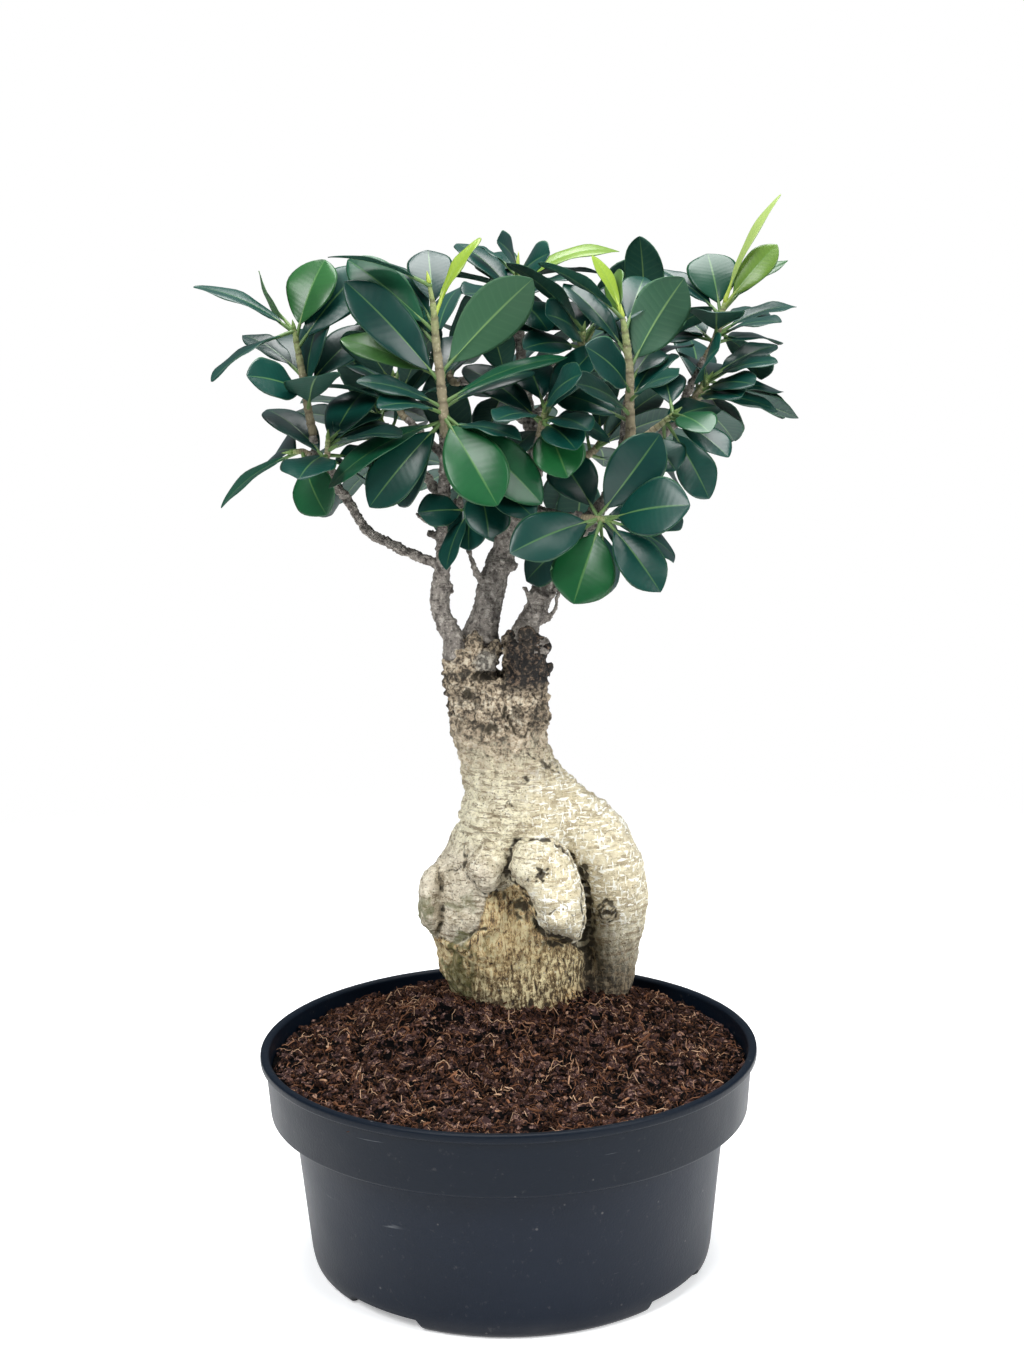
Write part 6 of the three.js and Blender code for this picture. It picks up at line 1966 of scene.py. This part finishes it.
    # Painted shade: creases, hollows and the bark under the lobe, burl and knobs go near black; a few real
    # dark spots and knot rings share the mask.
    creaseShadeAndMarks = f.smooth(dark + (fine - 0.5) * 0.9 + (blotch - 0.5) * 0.5, 0.22, 0.66)
    body = f.mix(creaseShadeAndMarks * 0.94, body, f.mix(blotch, (0.012, 0.008, 0.005), (0.060, 0.046, 0.022)))
    height = rings * 0.9 + ribs * bare * 1.3 + fine * 0.8 - (1 - f.smooth(pores, 0.1, 0.3)) * 0.35 - crackle
    return f.surface(Base_Color=body, Roughness=0.72 + fine * 0.2, Normal=f.bump(height, 1.0, 0.0013))


rootSkin = rootPiece(rootFinish())
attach(rootSkin, "root")
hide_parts("rootstock")
print("rootstock made")


# A limb of a branch: a tube with knots, wider where it stands on the root.
def limbShape(limb, seed):
    table = [(*point, radius) for point, radius in zip(woodPath(limb), woodRadii(limb["rows"]))]
    if "seat" in limb:
        foot = table[0]
        table.insert(0, (foot[0], foot[1], foot[2] - 5, foot[3] * 1.4))
        table[1] = (*foot[:3], foot[3] * 1.26)
        table[2] = (*table[2][:3], table[2][3] * 1.1)
    table = smoothRows(table, 1.5)
    rng = np.random.default_rng(seed)
    knots = rng.uniform(0, 1, len(table)) < 0.10
    radii = table[:, 3] * (1 + 0.06 * rng.normal(size=len(table)).cumsum() / 6)
    radii = np.clip(radii, table[:, 3] * 0.94, table[:, 3] * 1.1)
    lean = rng.uniform(0, anyTurn, len(table))

    def wobble(i, turn):
        near = knots[max(0, i - 1):i + 2].any()
        swell = 0.42 * max(0, math.cos(turn - lean[i // 3 * 3])) ** 3 + 0.07 if near else 0
        return swell + 0.04 * math.sin(3 * turn + i * 0.35)

    return tubeShape(table[:, :3], radii, wood["limbSides"], wobble)


# Dead twigs, too thin for the solids.
twigs = {
    "branch_left": [[[-33, 356, 41, 3], [-36.5, 359, 40, 2.2], [-39, 360.5, 40, 1.8]]],
    "branch_middle": [[[-16, 352, 45, 2.4], [-18, 360, 44, 2], [-20.4, 367, 43, 1.8]]],
    "branch_right": [
        [[17, 307.5, 50, 2.6], [21, 309.6, 50, 2.2], [25, 314, 50, 2], [26.6, 321, 50, 1.9],
         [29, 328, 50, 1.8]],
        [[20.6, 316.5, 48, 2.6], [24, 321, 47, 2.2], [27.4, 326.4, 46, 1.8]],
        [[15.6, 317, 46, 2.6], [13, 321.6, 45, 2.2], [10.9, 325.5, 44, 1.9]],
    ],
}


def branchPiece(name, limbs, finish):
    seed = sum(map(ord, name))
    shapes = [limbShape(limb, seed + i) for i, limb in enumerate(limbs)]
    shapes += [limbShape({"rows": rows}, seed + 60 + i) for i, rows in enumerate(twigs[name])]
    made = grownTogether("wood_" + name, shapes, wood["branchVoxel"], finish, 2)
    points, normals = pointsOf(made.data)
    rough = grainAt(points, 0.2, seed) * 0.7 + np.abs(grainAt(points, (0.5, 0.5, 0.4), seed + 5)) * 0.9
    rough += grainAt(points, (0.9, 0.9, 0.8), seed + 3) * 0.6
    rings = np.sin((points[:, 2] + grainAt(points, 0.08, seed + 9) * 8) * 2 * math.pi / 3.4) * 0.06
    points += normals * (rough + rings - 0.25)[:, None]
    movePoints(made.data, points)
    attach(made, "root")
    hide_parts(name)
    return made


def branchFinish():
    f = Finish("branchBark")
    place = f.place()
    patches = f.noise(place, 60, 4, 0.6)
    fine = f.noise(place, 420, 5, 0.7)
    rings = f.noise(f.stretched(place, (120, 120, 620)), 1.0, 3, 0.6, 0.6)
    speck = f.cells(place, 480)
    cracks = f.cells(f.stretched(place, (260, 260, 150)), 1.0)
    body = f.mix(patches, (0.130, 0.112, 0.097), (0.40, 0.36, 0.315))
    body = f.mix(f.smooth(rings, 0.56, 0.64) * 0.55, body, (0.060, 0.046, 0.037))
    body = f.mix((1 - f.smooth(speck, 0.10, 0.24)) * 0.6, body, (0.55, 0.50, 0.43))
    body = f.mix(f.smooth(fine, 0.55, 0.61) * 0.6, body, (0.62, 0.57, 0.50))
    body = f.mix((1 - f.smooth(fine, 0.40, 0.46)) * 0.75, body, (0.030, 0.023, 0.019))
    body = f.mix(f.smooth(cracks, 0.55, 0.80) * 0.5, body, (0.022, 0.016, 0.013))
    height = rings * 0.4 + fine * 1.2 + patches * 0.4
    return f.surface(Base_Color=body, Roughness=0.8 + fine * 0.12, Normal=f.bump(height, 1.0, 0.0014))


barkFinish = branchFinish()
for name, limbs in branches.items():
    branchPiece(name, limbs, barkFinish)
print("branches made")


# A plain white studio: a floor, an even sky and large soft lights.
studio = {
    "floorHalf": 2.0,
    "fadeFrom": 0.45,
    "fadeTo": 1.1,
    "floorGlow": 0.35,
    "sky": (0.22, 0.245, 0.27),
    "lamps": [
        ("key_left", (-0.9, -1.3, 1.7), 0.9, 36),
        ("fill_right", (1.4, -1.0, 1.1), 1.1, 25),
        ("top", (0.1, 0.2, 2.0), 1.4, 56),
    ],
}


def floorPiece():
    half = studio["floorHalf"] / mm
    points = [(-half, -half, 0), (half, -half, 0), (half, half, 0), (-half, half, 0)]
    f = Finish("whiteFloor")
    place = f.place()
    tint = f.mix(f.noise(place, 3, 2), (0.93, 0.93, 0.93), (0.95, 0.95, 0.95))
    away = f.node("VectorMath", {"operation": "LENGTH"}, {0: place}, out=1)
    seen = 1 - f.smooth(away, studio["fadeFrom"], studio["fadeTo"])
    made = makePiece("studio_floor", points, [(0, 1, 2, 3)], [f.surface(
        Base_Color=tint,
        Roughness=0.6,
        Alpha=seen,
        Emission_Color=(1.0, 1.0, 1.0, 1.0),
        Emission_Strength=studio["floorGlow"],
    )])


def lightStudio():
    world = bpy.data.worlds.new("sky")
    world.use_nodes = True
    tree = world.node_tree
    mixed = tree.nodes.new("ShaderNodeMixShader")
    cameraRay = tree.nodes.new("ShaderNodeLightPath").outputs["Is Camera Ray"]
    tree.links.new(cameraRay, mixed.inputs[0])
    for slot, colour in ((1, studio["sky"]), (2, (1, 1, 1))):
        light = tree.nodes.new("ShaderNodeBackground")
        light.inputs["Color"].default_value = (*colour, 1)
        tree.links.new(light.outputs[0], mixed.inputs[slot])
    tree.links.new(mixed.outputs[0], tree.nodes["World Output"].inputs[0])
    bpy.context.scene.world = world
    for name, place, size, watts in studio["lamps"]:
        lamp = bpy.data.lights.new(name, "AREA")
        lamp.shape = "DISK"
        lamp.size = size
        lamp.energy = watts
        held = bpy.data.objects.new(name, lamp)
        held.location = place
        held.rotation_euler = (Vector((0, 0, 0.28)) - Vector(place)).to_track_quat("-Z", "Y").to_euler()
        bpy.context.scene.collection.objects.link(held)
    bpy.context.scene.view_settings.view_transform = "Standard"


floorPiece()
lightStudio()
print("studio lit")
